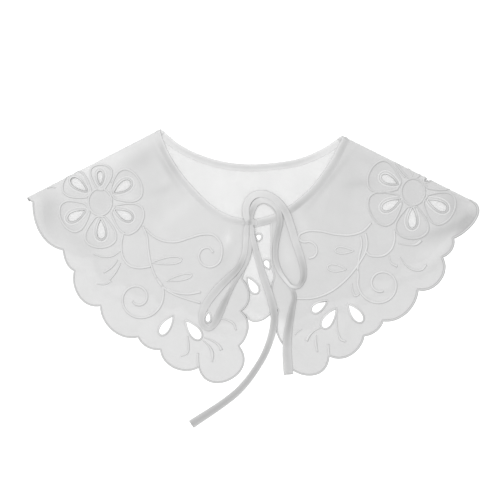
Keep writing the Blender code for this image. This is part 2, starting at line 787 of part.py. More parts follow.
def main():
    """Empty the scene and build every piece of the collar."""
    for piece in list(bpy.data.objects):
        bpy.data.objects.remove(piece)
    bpy.context.scene.collection.children.link(bpy.data.collections.new(MODEL_NAME))
    left_fold = Fold(NECK_LEFT[0], LEFT_TIP)
    right_fold = Fold(NECK_RIGHT[0], RIGHT_TIP)
    folds = (left_fold, right_fold)
    back_hem = hem_line(BACK_HEM, BACK_HEM_END)
    reach = BackReach(back_hem)
    left = Front("left", left_fold, shoulder_neckline(NECK_LEFT, left_fold, LEFT_SLANT),
                 hem_line(LEFT_HEM, LEFT_HEM_END), [Vector(spot) for spot in LEFT_CENTRE],
                 reach, LEFT_CREASES)
    right = Front("right", right_fold, shoulder_neckline(NECK_RIGHT, right_fold, RIGHT_SLANT),
                  hem_line(RIGHT_HEM, RIGHT_HEM_END), [Vector(spot) for spot in RIGHT_CENTRE],
                  reach, RIGHT_CREASES)
    back_panel(folds, back_hem)
    left.panel(LEFT_EYELETS, LEFT_FLOWER, LEFT_PETALS)
    right.panel(RIGHT_EYELETS, RIGHT_FLOWER, RIGHT_PETALS)
    back_binding(folds)
    left.binding()
    right.binding()
    knot()
    tie("tie_loop_left", LEFT_LOOP)
    tie("tie_loop_right", RIGHT_LOOP)
    tie("tie_tail_right", RIGHT_TAIL)
    tie("tie_tail_left", LEFT_TAIL)


main()
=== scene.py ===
"""Looks of a sheer white false collar with cutwork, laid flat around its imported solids.

The back lies on the surface and the two fronts lie on it, each turned over a rounded
shoulder fold. Cloth is a thin finely meshed shell on the middle of its solid, embroidery
is raised thread that follows the cloth, and the ties follow the solids' routes.
Tables are in millimetres about the collar's own middle, with X to the right, Y towards
the back neck and Z up from the surface. The model itself is in metres.
"""

import logging
import math
from dataclasses import dataclass
from enum import Enum
from typing import Sequence

import bpy
import numpy as np
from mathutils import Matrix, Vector, geometry


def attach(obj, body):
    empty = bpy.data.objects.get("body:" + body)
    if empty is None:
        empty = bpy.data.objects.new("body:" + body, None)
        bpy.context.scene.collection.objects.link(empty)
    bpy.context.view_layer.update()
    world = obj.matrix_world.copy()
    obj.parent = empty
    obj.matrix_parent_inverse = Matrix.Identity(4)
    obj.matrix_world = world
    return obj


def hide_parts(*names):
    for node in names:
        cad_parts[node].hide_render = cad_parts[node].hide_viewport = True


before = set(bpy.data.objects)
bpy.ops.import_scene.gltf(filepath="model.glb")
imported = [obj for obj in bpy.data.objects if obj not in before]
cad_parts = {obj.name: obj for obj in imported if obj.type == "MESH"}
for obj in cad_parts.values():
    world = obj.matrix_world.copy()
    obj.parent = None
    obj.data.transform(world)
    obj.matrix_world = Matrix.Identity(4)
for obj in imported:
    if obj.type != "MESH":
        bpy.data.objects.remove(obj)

LOG = logging.getLogger("collar")
Rows = Sequence[Sequence[float]]

MM = 0.001
# Where the model's middle lies in the tables
MIDDLE = (-0.03, 0.63)
ROOT = "root"
# The least length that anything is divided by
TINY = 1e-9

# The solids that the looks lie on: the cloth, the turn at the shoulder and the return under it
CLOTH = 1.0
FOLD_RADIUS = 0.9
FOLD_REACH = FOLD_RADIUS + CLOTH / 2
UNDER_RETURN = 3.0
UNDER_LENGTH = math.pi * FOLD_RADIUS + UNDER_RETURN
# How far a front is held up beside its fold, and where the fold's own height has eased out
FOLD_HOLD = 5.0
FOLD_EASE = 14.0
# How far past the back's hem a front begins to drop to the surface, and the length of the drop
DROP_CLEARANCE = 3.0
DROP_LENGTH = 9.0
# The smooth line past the back's hem: headings from the neck's middle, their window in degrees
NECK_CENTRE = (0.0, 110.0)
REACH_HEM_STEP = 3.6
REACH_WINDOW = 4.0
REACH_STEPS = 36

# Cloth as it is shown: its thickness, and how far its middle lies off the solids' own
SHEER_THICKNESS = 0.26
BACK_LEVEL = 0.15
FRONT_LEVEL = -0.2
# The front's lift where it lies on the back, a little closer than the solids
LAP = 1.05
# The most that anything stands out of the cloth where it lies under the fold
UNDER_LIMIT = 0.42
# How far the cloth's edge lies in from the neck edge, under the binding
UNDER_BINDING = 2.0
# The meshes: triangles, their rows, how clear of the lines they start and when spots are one
MESH_STEP = 1.7
MESH_ROW = MESH_STEP * math.sqrt(0.75)
MESH_CLEAR = 0.45 * MESH_STEP
MESH_MERGE = 1e-4
EDGE_STEP = 1.3
# Rows of spots round the fold, and how far they run past its ends
FOLD_ROWS = 9
FOLD_OVERRUN = 8.0
# Corners of an outline that are nearer than this are one, or count as past the centre edge
CORNER_GAP = 0.3

# Drops and ovals: their spots, and the greatest value of the formula that widens a drop
DROP_POINTS = 34
DROP_WIDEST = 4.0 / math.sqrt(27.0)
OVAL_POINTS = 40
# A spiral's fewest places, and the turn in degrees from one to the next
SPIRAL_LEAST = 6
SPIRAL_TURN = 24.0

# Stitching: widths, heights, and the steps of the smoothed lines and strokes
HEM_WIDTH = 1.6
HEM_OFFSET = HEM_WIDTH * 0.35
OUTLINE_WIDTH = 2.2
FINE_WIDTH = 1.3
FINE_HEIGHT = 0.3
DROP_WIDTH = 1.6
LINE_WIDTH = 2.3
RIM_WIDTH = 1.7
RIM_OFFSET = 0.65
RIM_STEP = 1.0
THREAD_HEIGHT = 0.5
BACK_THREAD_HEIGHT = 0.4
STROKE_HEIGHT = THREAD_HEIGHT * 1.2
STROKE_STEP = 1.0
LINE_CURVE = 0.6
STROKE_CURVE = 0.5
PETAL_CURVE = 1.0
# Spots of the hem's line that are nearer than this are one
SAME_SPOT = 0.2
# Towards the light, on the cloth, for the stitches' painted shade
TO_LIGHT = (-0.6, 0.8)
# Painted shade on the stitches: on a raised line's crown, on a flat edge's crown and along the sides
BRIGHT_CROWN = 0.56
DARK_CROWN = 0.68
SIDE_SHADE = 1.0
# The share of that painted shade on a side that faces the light
SHADE_FACING = 0.3
# Painted shade on an eyelet's rim, where it lies towards the light and away from it: on its crown and on
# its sides
RIM_CROWNS = (0.4, 0.78)
RIM_SHADES = (0.55, 0.95)
# The hem across the collar: x, and the painted shade there in one table and the width there in the other
HEM_SHADE = ((-90.0, -20.0, 20.0, 90.0, 190.0), (0.9, 1.0, 1.0, 1.0, 1.1))
HEM_WIDTHS = ((40.0, 190.0), (HEM_WIDTH, 2.4))
# The centre edges, nearer to the centre front than the first number, have fainter painted shade high up: y
# and the share of the painted shade there
CENTRE_REACH = 30.0
CENTRE_SHADE = ((-25.0, -8.0), (1.0, 0.3))

# Necklines, from the shoulder to the centre front or across the back
NECK_LEFT = (
    (-83.0, 115.0), (-78.0, 98.5), (-70.0, 83.5), (-61.0, 71.0), (-47.0, 55.5),
    (-34.0, 44.0), (-20.0, 36.5), (-8.0, 33.6),
)
NECK_RIGHT = (
    (81.0, 109.0), (76.5, 98.5), (70.0, 86.0), (61.0, 72.5), (52.0, 61.5),
    (41.0, 51.5), (30.0, 43.5), (16.5, 37.0), (2.0, 33.4),
)
NECK_BACK = (
    (-83.0, 115.0), (-65.0, 100.5), (-47.0, 91.5), (-29.0, 86.0), (-2.0, 83.0),
    (16.0, 84.0), (43.0, 88.5), (61.0, 96.0), (81.0, 109.0),
)

# Scallops: each row is a lobe's notch and two places on its round, up to the next notch.
LEFT_HEM = (
    # notch x, notch y, first x, first y, second x, second y
    (-197.5, 49.0, -196.0, 33.0, -184.0, 12.5),
    (-170.5, 6.0, -169.0, -1.5, -165.0, -9.5),
    (-160.5, -13.0, -160.5, -26.5, -151.5, -41.0),
    (-137.0, -44.5, -132.0, -60.0, -119.0, -71.0),
    (-103.0, -72.5, -98.5, -79.0, -91.5, -83.0),
    (-83.0, -84.0, -77.0, -96.0, -63.5, -102.5),
    (-48.5, -100.0, -35.0, -113.5, -12.0, -104.5),
    (-12.0, -80.5, -5.0, -70.0, -5.0, -56.0),
    (-10.5, -49.0, -3.5, -40.0, -4.0, -28.5),
)
LEFT_HEM_END = (-9.5, -20.0)
RIGHT_HEM = (
    (196.0, 51.5, 203.0, 42.0, 194.0, 25.0),
    (180.5, 16.5, 181.0, 11.0, 177.5, 4.0),
    (170.5, -0.5, 173.0, -12.0, 164.0, -26.5),
    (149.0, -30.0, 144.5, -43.5, 133.5, -54.5),
    (117.5, -58.0, 114.0, -64.5, 108.5, -69.0),
    (100.5, -71.5, 95.0, -83.0, 83.0, -91.0),
    (69.0, -89.5, 56.0, -106.5, 34.0, -100.5),
    (28.5, -80.5, 22.0, -69.0, 21.0, -59.0),
    (23.0, -48.0, 18.0, -41.0, 17.0, -27.5),
)
RIGHT_HEM_END = (19.5, -18.5)
BACK_HEM = (
    (-187.5, 45.5, -187.0, 29.0, -179.5, 15.0),
    (-169.5, 7.5, -162.5, 2.0, -151.5, -0.5),
    (-142.0, 0.5, -140.0, -15.0, -130.0, -25.0),
    (-115.5, -22.0, -109.5, -32.0, -99.5, -35.5),
    (-89.5, -32.0, -84.5, -41.5, -74.0, -46.5),
    (-64.0, -42.5, -57.0, -50.5, -47.0, -52.5),
    (-37.0, -48.5, -31.0, -57.0, -17.5, -60.0),
    (-6.0, -52.5, 0.5, -58.5, 11.0, -56.0),
    (18.5, -48.0, 27.5, -56.0, 42.0, -56.0),
    (53.5, -44.5, 63.0, -41.0, 73.5, -39.8),
    (81.5, -35.5, 91.5, -36.5, 102.0, -30.0),
    (111.0, -19.5, 122.0, -21.0, 131.0, -14.0),
    (138.0, -5.0, 149.0, -5.0, 160.5, 2.0),
    (167.0, 10.5, 176.0, 18.5, 182.0, 31.0),
)
BACK_HEM_END = (184.0, 43.0)

# Soft folds: the first three of each side are the solids' own, the rest are finer ones.
LEFT_CREASES = (
    # x, y, heading in degrees, half length, half width, height
    (-84.0, 78.0, 205.0, 26.0, 8.0, 1.1),
    (-104.0, 30.0, 235.0, 30.0, 10.0, 0.8),
    (-66.0, 2.0, 190.0, 24.0, 9.0, 0.6),
    (-80.0, 62.0, 240.0, 22.0, 4.0, 0.45),
    (-66.0, 38.0, 222.0, 26.0, 3.6, 0.4),
    (-22.0, 17.0, 262.0, 11.0, 3.2, 0.35),
    (-176.0, 28.0, 285.0, 24.0, 6.0, 0.5),
    (-150.0, 6.0, 335.0, 18.0, 4.0, 0.35),
    (-116.0, -34.0, 300.0, 20.0, 5.0, 0.35),
    (-84.0, -56.0, 265.0, 16.0, 4.5, 0.3),
    (-36.0, -84.0, 310.0, 18.0, 5.0, 0.35),
)
RIGHT_CREASES = (
    # the same columns
    (88.0, 72.0, -50.0, 24.0, 8.0, 0.9),
    (188.0, 36.0, 20.0, 18.0, 6.0, 1.0),
    (100.0, 18.0, -80.0, 26.0, 9.0, 0.7),
    (97.0, 68.0, 8.0, 16.0, 3.4, 0.4),
    (66.0, 50.0, 255.0, 24.0, 4.0, 0.4),
    (172.0, 20.0, 20.0, 26.0, 3.6, 0.5),
    (160.0, -8.0, 215.0, 20.0, 4.5, 0.35),
    (126.0, -22.0, 240.0, 18.0, 4.0, 0.3),
    (84.0, -62.0, 250.0, 16.0, 4.5, 0.35),
    (44.0, -86.0, 330.0, 14.0, 4.0, 0.3),
)

# Soft bands of painted shade (above zero) and painted light (below zero): the light and shade of the
# cloth's folds and of what lies on it
LEFT_SHADES = (
    # x, y, heading in degrees, half length, half width, painted shade
    (-76.6, 78.6, 302.0, 16.0, 2.6, 0.3),
    (-132.0, 84.0, 207.0, 62.0, 7.0, -0.26),
    (-102.0, 86.0, 215.0, 16.0, 9.0, 0.2),
    (-92.0, 64.0, 268.0, 34.0, 12.0, 0.06),
    (-80.0, 60.0, 200.0, 12.0, 4.0, 0.16),
    (-184.0, 40.0, 262.0, 22.0, 11.0, 0.28),
    (-156.0, 14.0, 320.0, 24.0, 8.0, 0.16),
    (-137.0, 49.0, 0.0, 10.0, 11.0, 0.12),
    (-137.0, 46.0, 0.0, 40.0, 36.0, -0.08),
    (-22.0, 16.0, 260.0, 8.0, 4.0, -0.2),
    (-66.0, 40.0, 225.0, 26.0, 8.0, -0.12),
    (-112.0, 54.0, 250.0, 18.0, 8.0, -0.1),
    (-24.0, 0.0, 240.0, 20.0, 5.0, 0.12),
)
RIGHT_SHADES = (
    # the same columns
    (69.2, 67.9, 51.5, 28.0, 2.6, 0.22),
    (195.0, 31.5, 46.0, 14.0, 7.0, 0.36),
    (32.0, 2.0, 285.0, 20.0, 6.0, -0.12),
    (184.0, 42.0, 300.0, 15.0, 11.0, 0.28),
    (174.0, 24.0, 18.0, 26.0, 5.0, 0.34),
    (144.5, 58.0, 0.0, 11.0, 12.0, 0.06),
    (144.5, 56.0, 0.0, 40.0, 36.0, -0.04),
    (97.0, 66.0, 5.0, 12.0, 4.0, 0.16),
    (104.0, 86.0, 320.0, 14.0, 6.0, 0.12),
    (86.0, 66.0, 265.0, 26.0, 8.0, 0.1),
    (46.0, 30.0, 300.0, 24.0, 6.0, -0.1),
    (160.0, 4.0, 30.0, 18.0, 5.0, -0.1),
    (26.5, -68.0, 280.0, 14.0, 5.0, -0.4),
)
# A soft darker band on the back, low between the fronts
BACK_SHADES = ((5.0, -44.0, 0.0, 20.0, 13.0, 0.35),)

# Cut eyelets: tip, round end and width
LEFT_EYELETS = (
    # tip x, tip y, round x, round y, width
    (-71.5, -53.5, -83.0, -70.0, 8.0),
    (-60.0, -58.0, -47.0, -74.0, 9.0),
    (-39.5, -50.0, -40.5, -59.0, 5.0),
)
RIGHT_EYELETS = (
    (67.0, -40.0, 53.5, -49.5, 7.5),
    (75.0, -47.0, 63.5, -64.0, 8.5),
    (86.0, -43.0, 98.5, -58.5, 8.5),
    (153.5, 67.0, 160.5, 71.4, 4.2),
)
BACK_EYELETS = (
    (5.6, 14.2, 5.4, 20.0, 4.8),
    (15.0, -10.8, 11.2, -3.4, 5.2),
    (-4.5, -19.0, 4.0, -32.5, 7.4),
    (-22.0, 21.5, -22.0, 12.0, 4.8),
)

# Petals' outlines: heading in degrees, reach from the flower's middle, half opening in degrees
LEFT_PETALS = (
    (30.0, 40.5, 29.0), (88.0, 33.5, 22.0), (145.0, 37.5, 25.0), (207.0, 38.5, 29.0),
    (271.0, 41.0, 26.0), (331.0, 42.0, 26.0),
)
RIGHT_PETALS = (
    (31.0, 40.0, 27.0), (92.0, 40.0, 28.0), (155.0, 43.0, 26.0), (208.5, 43.0, 28.0),
    (268.0, 42.0, 27.0), (330.0, 40.5, 29.0),
)
# One petal's shape: share of the half opening and share of the reach
PETAL_SHAPE = (
    (0.62, 0.34), (0.90, 0.48), (1.0, 0.64), (0.97, 0.79), (0.80, 0.91), (0.45, 0.98), (0.0, 1.0),
)
# The disc's half width and half height
DISC = (10.6, 12.0)
# The finer row round each eyelet: its distance from the edge, and its painted shade
HALO = 2.7
HALO_SHADE = 0.45
# How much closer a filled motif looks, how softly it begins, and where it surely has ended
FILL_CLOSE = 0.07
FILL_EDGE = 1.6
FILL_REACH = 40.0

# The petals' cut eyelets
LEFT_CUTS = (
    # heading in degrees, near end, far end, width
    (34.0, 15.0, 33.0, 8.5),
    (90.0, 15.5, 28.0, 5.6),
    (141.0, 15.5, 33.5, 8.0),
    (209.0, 15.5, 33.0, 8.0),
    (272.0, 15.5, 33.5, 7.8),
    (332.0, 15.0, 32.5, 8.2),
)
RIGHT_CUTS = (
    (153.0, 16.0, 32.0, 7.4),
    (209.0, 14.0, 31.8, 7.8),
    (268.0, 14.0, 32.5, 8.0),
    (332.0, 15.0, 34.0, 8.2),
)

# Ties: each row is a place on the route, the underside's height and the width there. The ends
# at the knot go on into it.
LEFT_LOOP = (
    # x, y, underside, width
    (-4.4, 29.4, 4.2, 3.4),
    (-5.2, 26.6, 4.4, 4.6), (-6.0, 15.0, 4.4, 5.0), (-7.5, 1.5, 4.4, 5.0),
    (-13.0, -10.5, 4.4, 5.5), (-22.0, -19.5, 4.0, 6.5), (-33.0, -31.0, 3.1, 7.5),
    (-41.0, -42.0, 2.8, 7.0), (-45.5, -52.5, 2.7, 6.0), (-44.5, -61.0, 2.7, 5.0),
    (-39.6, -64.5, 2.7, 5.0), (-34.5, -60.5, 2.7, 6.0), (-30.0, -52.0, 2.8, 6.5),
    (-25.5, -42.0, 3.0, 5.5), (-20.0, -31.0, 3.1, 3.6), (-14.0, -20.0, 3.1, 3.2),
    (-7.0, -8.5, 3.1, 3.4), (-3.0, 4.0, 3.1, 4.0), (-2.4, 15.0, 3.1, 4.4),
    (-2.6, 26.6, 3.1, 4.6), (-2.8, 29.4, 3.5, 3.2),
)
RIGHT_LOOP = (
    (-4.4, 31.0, 4.8, 3.4),
    (-5.0, 33.7, 5.7, 4.6), (-6.0, 43.0, 5.7, 5.0), (-3.0, 51.0, 5.7, 5.0),
    (3.0, 55.5, 5.7, 5.0), (10.5, 56.0, 5.7, 5.2), (18.5, 52.5, 5.7, 5.4),
    (25.0, 47.0, 5.7, 5.4), (30.0, 39.5, 5.6, 5.6), (34.0, 28.5, 4.4, 6.0),
    (39.0, 12.0, 3.1, 6.4), (43.5, -1.5, 3.0, 6.4), (46.0, -13.0, 3.0, 5.6),
    (45.0, -21.5, 3.6, 4.6), (41.0, -27.0, 4.4, 3.2), (35.5, -27.0, 4.4, 3.0),
    (30.0, -21.5, 4.4, 3.6), (24.0, -12.5, 4.4, 4.2), (20.6, -2.0, 4.4, 4.6),
    (20.6, 9.5, 4.4, 4.8), (23.0, 22.0, 4.4, 4.8), (24.8, 33.0, 4.4, 4.8),
    (22.6, 42.0, 4.4, 4.8), (17.2, 48.0, 4.4, 4.8), (10.5, 50.8, 4.4, 4.8),
    (4.0, 48.8, 4.4, 4.8), (0.3, 43.4, 4.4, 4.6), (-1.4, 38.4, 4.4, 4.4),
    (-2.0, 33.7, 4.4, 4.2), (-2.4, 31.0, 4.2, 3.2),
)
RIGHT_TAIL = (
    (-2.2, 31.0, 3.4, 3.0),
    (-2.0, 33.7, 3.1, 4.0), (-1.2, 38.6, 3.1, 4.2), (1.0, 44.0, 3.1, 4.4),
    (5.0, 48.0, 3.1, 4.4), (10.5, 49.6, 3.1, 4.4), (16.5, 46.8, 3.1, 4.4),
    (21.8, 41.0, 3.1, 4.4), (24.0, 33.0, 3.1, 4.4), (22.6, 22.0, 3.1, 4.4),
    (20.4, 9.5, 3.1, 4.4), (20.4, -2.0, 3.1, 4.2), (23.8, -12.0, 3.1, 4.0),
    (29.4, -20.8, 3.1, 3.8), (35.4, -28.6, 3.1, 3.4), (37.6, -36.5, 3.1, 4.0),
    (35.6, -46.5, 3.1, 5.2), (33.5, -58.0, 2.8, 6.4), (31.5, -71.5, 1.8, 7.4),
    (31.0, -84.0, 1.5, 8.0), (31.5, -96.0, 1.4, 8.4), (32.4, -106.0, 1.4, 8.6),
)
LEFT_TAIL = (
    (-1.5, 29.4, 4.6, 3.0),
    (-0.8, 26.6, 5.7, 3.8), (-0.3, 19.5, 5.7, 4.4), (1.9, 9.5, 5.2, 5.0),
    (4.9, -1.5, 4.0, 5.6), (7.9, -12.0, 3.1, 6.0), (11.8, -24.0, 3.1, 6.4),
    (15.8, -35.5, 3.1, 6.6), (18.7, -46.5, 3.1, 6.8), (19.6, -56.0, 3.0, 6.6),
    (18.0, -67.0, 2.4, 6.2), (14.5, -79.0, 1.2, 6.0), (9.5, -90.5, 0.5, 6.0),
    (2.5, -102.0, 0.3, 6.0), (-5.5, -113.0, 0.3, 6.2), (-15.0, -123.0, 0.3, 6.4),
    (-26.5, -132.0, 0.3, 6.6), (-39.0, -140.5, 0.3, 7.0), (-49.0, -147.0, 0.3, 7.4),
    (-55.0, -151.0, 0.3, 7.6),
)


# Numbers and lines


def smoothstep(values: np.ndarray) -> np.ndarray:
    """Ease from 0 to 1 as the values go from 0 to 1."""
    clipped = np.clip(values, 0.0, 1.0)
    return clipped * clipped * (3.0 - 2.0 * clipped)


def run_along(line: np.ndarray) -> np.ndarray:
    """How far along a line each of its spots lies."""
    return np.concatenate(([0.0], np.cumsum(np.linalg.norm(np.diff(line[:, :2], axis=0), axis=1))))


def shut(ring: np.ndarray) -> np.ndarray:
    """A ring's spots with the first one again at the end."""
    return np.vstack((ring, ring[:1]))


def smooth_rows(rows: Rows, step: float) -> np.ndarray:
    """Rows about every step along a curve through all the given rows.

    Args:
        rows: places, whose first two columns are x and y; the others follow with them.
        step: the distance between the rows that come back.

    Returns:
        The rows as an array, the last given one included.
    """
    table = np.array(rows, dtype=float)
    spans = np.linalg.norm(np.diff(table[:, :2], axis=0), axis=1)
    knots = np.concatenate(([0.0], np.cumsum(spans)))
    slopes = np.gradient(table, knots, axis=0)
    parts = []
    for index, span in enumerate(spans):
        count = max(1, round(span / step))
        t = (np.arange(count) / count)[:, None]
        parts.append(
            (2 * t**3 - 3 * t**2 + 1) * table[index]
            + (t**3 - 2 * t**2 + t) * span * slopes[index]
            + (3 * t**2 - 2 * t**3) * table[index + 1]
            + (t**3 - t**2) * span * slopes[index + 1]
        )
    return np.vstack(parts + [table[-1:]])


def lobe(places: np.ndarray, step: float) -> np.ndarray:
    """A scallop: the cubic through its notch, two places on its round and its end.

    Args:
        places: the notch, two places on the round, and the end.
        step: the distance between spots.

    Returns:
        The scallop's spots, without its end.
    """
    knots = run_along(places)
    count = max(2, round(knots[-1] / step))
    at = knots[-1] * np.arange(count) / count
    spots = np.zeros((count, 2))
    for index, place in enumerate(places):
        weight = np.ones(count)
        for other, knot in enumerate(knots):
            if other != index:
                weight *= (at - knot) / (knots[index] - knot)
        spots += weight[:, None] * place
    return spots


def hem_line(rows: Rows, end: Sequence[float], step: float) -> np.ndarray:
    """All the scallops of one hem in order, from its first notch to its end.

    Args:
        rows: notch x, notch y, and x and y of two places on the round, for each scallop.
        end: where the last scallop ends.
        step: the distance between spots.

    Returns:
        The hem's spots.
    """
    line = []
    for index, row in enumerate(rows):
        following = rows[index + 1][:2] if index + 1 < len(rows) else end
        line.append(lobe(np.array([row[:2], row[2:4], row[4:6], following]), step))
    return np.vstack(line + [np.array([end])])


def sides(line: np.ndarray, closed: bool) -> np.ndarray:
    """Unit vectors to the left of a line at each of its spots.

    Args:
        line: the line's spots.
        closed: whether its end meets its start.

    Returns:
        One vector for each spot.
    """
    if closed:
        run = np.roll(line, -1, axis=0) - np.roll(line, 1, axis=0)
    else:
        run = np.gradient(line, axis=0)
    run /= np.maximum(np.linalg.norm(run, axis=1), TINY)[:, None]
    return np.column_stack((-run[:, 1], run[:, 0]))


def offset_line(line: np.ndarray, distance: float, closed: bool = False) -> np.ndarray:
    """A line moved sideways: to its left where the distance is above zero."""
    return line + sides(line, closed) * distance


def evenly(line: np.ndarray, step: float, closed: bool = False) -> np.ndarray:
    """The same line with its spots about one step apart.

    Args:
        line: the line's spots, with any other columns after x and y.
        step: the distance between spots.
        closed: whether the line's end meets its start.

    Returns:
        The new spots, with the other columns along.
    """
    full = shut(line) if closed else line
    reach = run_along(full)
    count = max(3, round(reach[-1] / step))
    at = np.linspace(0.0, reach[-1], count + 1)
    if closed:
        at = at[:-1]
    return np.column_stack([np.interp(at, reach, full[:, axis]) for axis in range(full.shape[1])])


def teardrop(tip: Sequence[float], end: Sequence[float], width: float) -> np.ndarray:
    """A closed drop with a sharp tip and a round end.

    Args:
        tip: its tip.
        end: the far side of its round end.
        width: its greatest width.

    Returns:
        The drop's spots, from its tip.
    """
    tip = np.array(tip)
    axis = np.array(end) - tip
    side = np.array((-axis[1], axis[0])) / np.linalg.norm(axis)
    angle = 2 * math.pi * np.arange(DROP_POINTS) / DROP_POINTS
    along = (1 - np.cos(angle)) / 2
    across = np.sin(angle) * np.sin(angle / 2) / DROP_WIDEST * width / 2
    return tip + along[:, None] * axis + across[:, None] * side


def teardrops(rows: Rows) -> list[np.ndarray]:
    """The drops of a table whose rows are tip x, tip y, round end x, round end y and width."""
    return [teardrop(row[:2], row[2:4], row[4]) for row in rows]


def inside(spots: np.ndarray, ring: np.ndarray) -> np.ndarray:
    """Whether each spot lies inside a closed ring.

    Args:
        spots: places on the flat cloth.
        ring: the ring's spots.

    Returns:
        One truth value for each spot.
    """
    within = np.zeros(len(spots), bool)
    for near, far in zip(ring, np.roll(ring, -1, axis=0)):
        if near[1] == far[1]:
            continue
        between = (near[1] > spots[:, 1]) != (far[1] > spots[:, 1])
        crossing = near[0] + (spots[:, 1] - near[1]) * (far[0] - near[0]) / (far[1] - near[1])
        within ^= between & (spots[:, 0] < crossing)
    return within


def distance_to(spots: np.ndarray, line: np.ndarray) -> np.ndarray:
    """Each spot's distance to an open line.

    Args:
        spots: places on the flat cloth.
        line: the line's spots.

    Returns:
        One distance for each spot.
    """
    nearest = np.full(len(spots), np.inf)
    for near, far in zip(line[:-1], line[1:]):
        run = far - near
        away = spots - near
        share = np.clip(away @ run / max(run @ run, TINY), 0.0, 1.0)
        nearest = np.minimum(nearest, np.linalg.norm(away - share[:, None] * run, axis=1))
    return nearest


def at_stops(run: np.ndarray, stops: Rows) -> np.ndarray:
    """A value along a run, from stops given as share of the run and value."""
    shares, values = zip(*stops)
    return np.interp(run / run[-1], shares, values)


def bumps(spots: np.ndarray, rows: Rows) -> np.ndarray:
    """The sum of long soft bumps at each spot.

    Args:
        spots: places on the flat cloth.
        rows: x, y, heading in degrees, half length, half width and top of each bump.

    Returns:
        One height for each spot.
    """
    total = np.zeros(len(spots))
    for x, y, heading, half_length, half_width, top in rows:
        away = spots - (x, y)
        angle = math.radians(heading)
        along = (away @ (math.cos(angle), math.sin(angle))) / half_length
        across = (away @ (-math.sin(angle), math.cos(angle))) / half_width
        total += top * np.exp(-along**2 - across**2)
    return total


def spiral(centre: Sequence[float], start: float, end: float, heading: float,
           sweep: float) -> list[tuple[float, float]]:
    """Places on an even spiral whose radius shrinks by the same share at each step.

    Args:
        centre: the spiral's middle.
        start: the radius where it begins.
        end: the radius where it ends.
        heading: the angle in degrees where it begins.
        sweep: the angle in degrees that it turns through, above zero to the left.

    Returns:
        The places, the first one included.
    """
    count = max(SPIRAL_LEAST, round(abs(sweep) / SPIRAL_TURN))
    places = []
    for index in range(count + 1):
        share = index / count
        angle = math.radians(heading + sweep * share)
        radius = start * (end / start) ** share
        places.append((centre[0] + radius * math.cos(angle), centre[1] + radius * math.sin(angle)))
    return places


# How the cloth lies


@dataclass(frozen=True)
class Fold:
    """The rounded fold along a shoulder, from the neck to the tip."""

    neck: tuple[float, float]
    tip: tuple[float, float]

    @property
    def along(self) -> np.ndarray:
        """The fold's heading, from the neck to the tip."""
        run = np.subtract(self.tip, self.neck)
        return run / np.linalg.norm(run)

    @property
    def inward(self) -> np.ndarray:
        """The heading across the fold, towards the hem."""
        across = np.array((-self.along[1], self.along[0]))
        return across if across[1] < 0 else -across

    def depth(self, spots: np.ndarray) -> np.ndarray:
        """How far each spot lies from the start of the turn, above zero on the top layer."""
        return (np.atleast_2d(spots) - self.neck) @ self.inward - FOLD_REACH

    def at_depth(self, spots: np.ndarray, depth: float | np.ndarray) -> np.ndarray:
        """The spots moved straight across the fold to the given depth."""
        spots = np.atleast_2d(spots)
        return spots + (depth - self.depth(spots))[:, None] * self.inward

    def place(self, spots: np.ndarray, outward: np.ndarray, lift: np.ndarray) -> np.ndarray:
        """Where points of the cloth lie, outward of the cloth's middle.

        Args:
            spots: places on the flat cloth.
            outward: how far outward of the cloth's middle.
            lift: how far the cloth is lifted off the surface there, before the turn.

        Returns:
            The points in space, in millimetres.
        """
        turn = -self.depth(spots)
        angle = np.clip(turn / FOLD_RADIUS, 0.0, math.pi)
        past = np.maximum(turn, 0.0) - angle * FOLD_RADIUS
        reach = np.sin(angle) * (FOLD_RADIUS + outward) - past
        height = CLOTH / 2 + FOLD_RADIUS + np.cos(angle) * (FOLD_RADIUS + outward)
        top = turn <= 0.0
        flat = np.where(top[:, None], spots, self.at_depth(spots, -reach))
        return np.column_stack((flat, np.where(top, CLOTH / 2 + lift + outward, height)))


class BackReach:
    """How far the back's hem reaches from the neck, as a smooth line past its lobes."""

    def __init__(self, hem: np.ndarray) -> None:
        """Measure the given hem around the middle of the neck.

        Args:
            hem: the back's hem.
        """
        angles, reaches = self.polar(hem)
        self.angles = np.linspace(angles[0], angles[-1], REACH_STEPS)
        self.reaches = np.array([
            reaches[np.abs(angles - angle) < REACH_WINDOW].max() + DROP_CLEARANCE
            for angle in self.angles
        ])

    @staticmethod
    def polar(spots: np.ndarray) -> tuple[np.ndarray, np.ndarray]:
        """Each spot's heading in degrees and its distance from the middle of the neck."""
        away = spots - NECK_CENTRE
        return np.degrees(np.arctan2(away[:, 1], away[:, 0])), np.linalg.norm(away, axis=1)

    def overhang(self, spots: np.ndarray) -> np.ndarray:
        """How far each spot lies outside the line, below zero over the back."""
        angles, distances = self.polar(spots)
        return distances - np.interp(angles, self.angles, self.reaches)


class Lay:
    """Cloth that lies flat on the surface."""

    level = BACK_LEVEL

    def place(self, spots: np.ndarray, outward: float | np.ndarray) -> np.ndarray:
        """Where points of the cloth lie, outward of the cloth's middle."""
        height = np.broadcast_to(CLOTH / 2 + self.level + np.asarray(outward, float), len(spots))
        return np.column_stack((spots, height))

    def holds(self, spots: np.ndarray) -> np.ndarray:
        """Whether there is cloth at each spot, apart from the panel's own outline."""
        return np.ones(len(spots), bool)


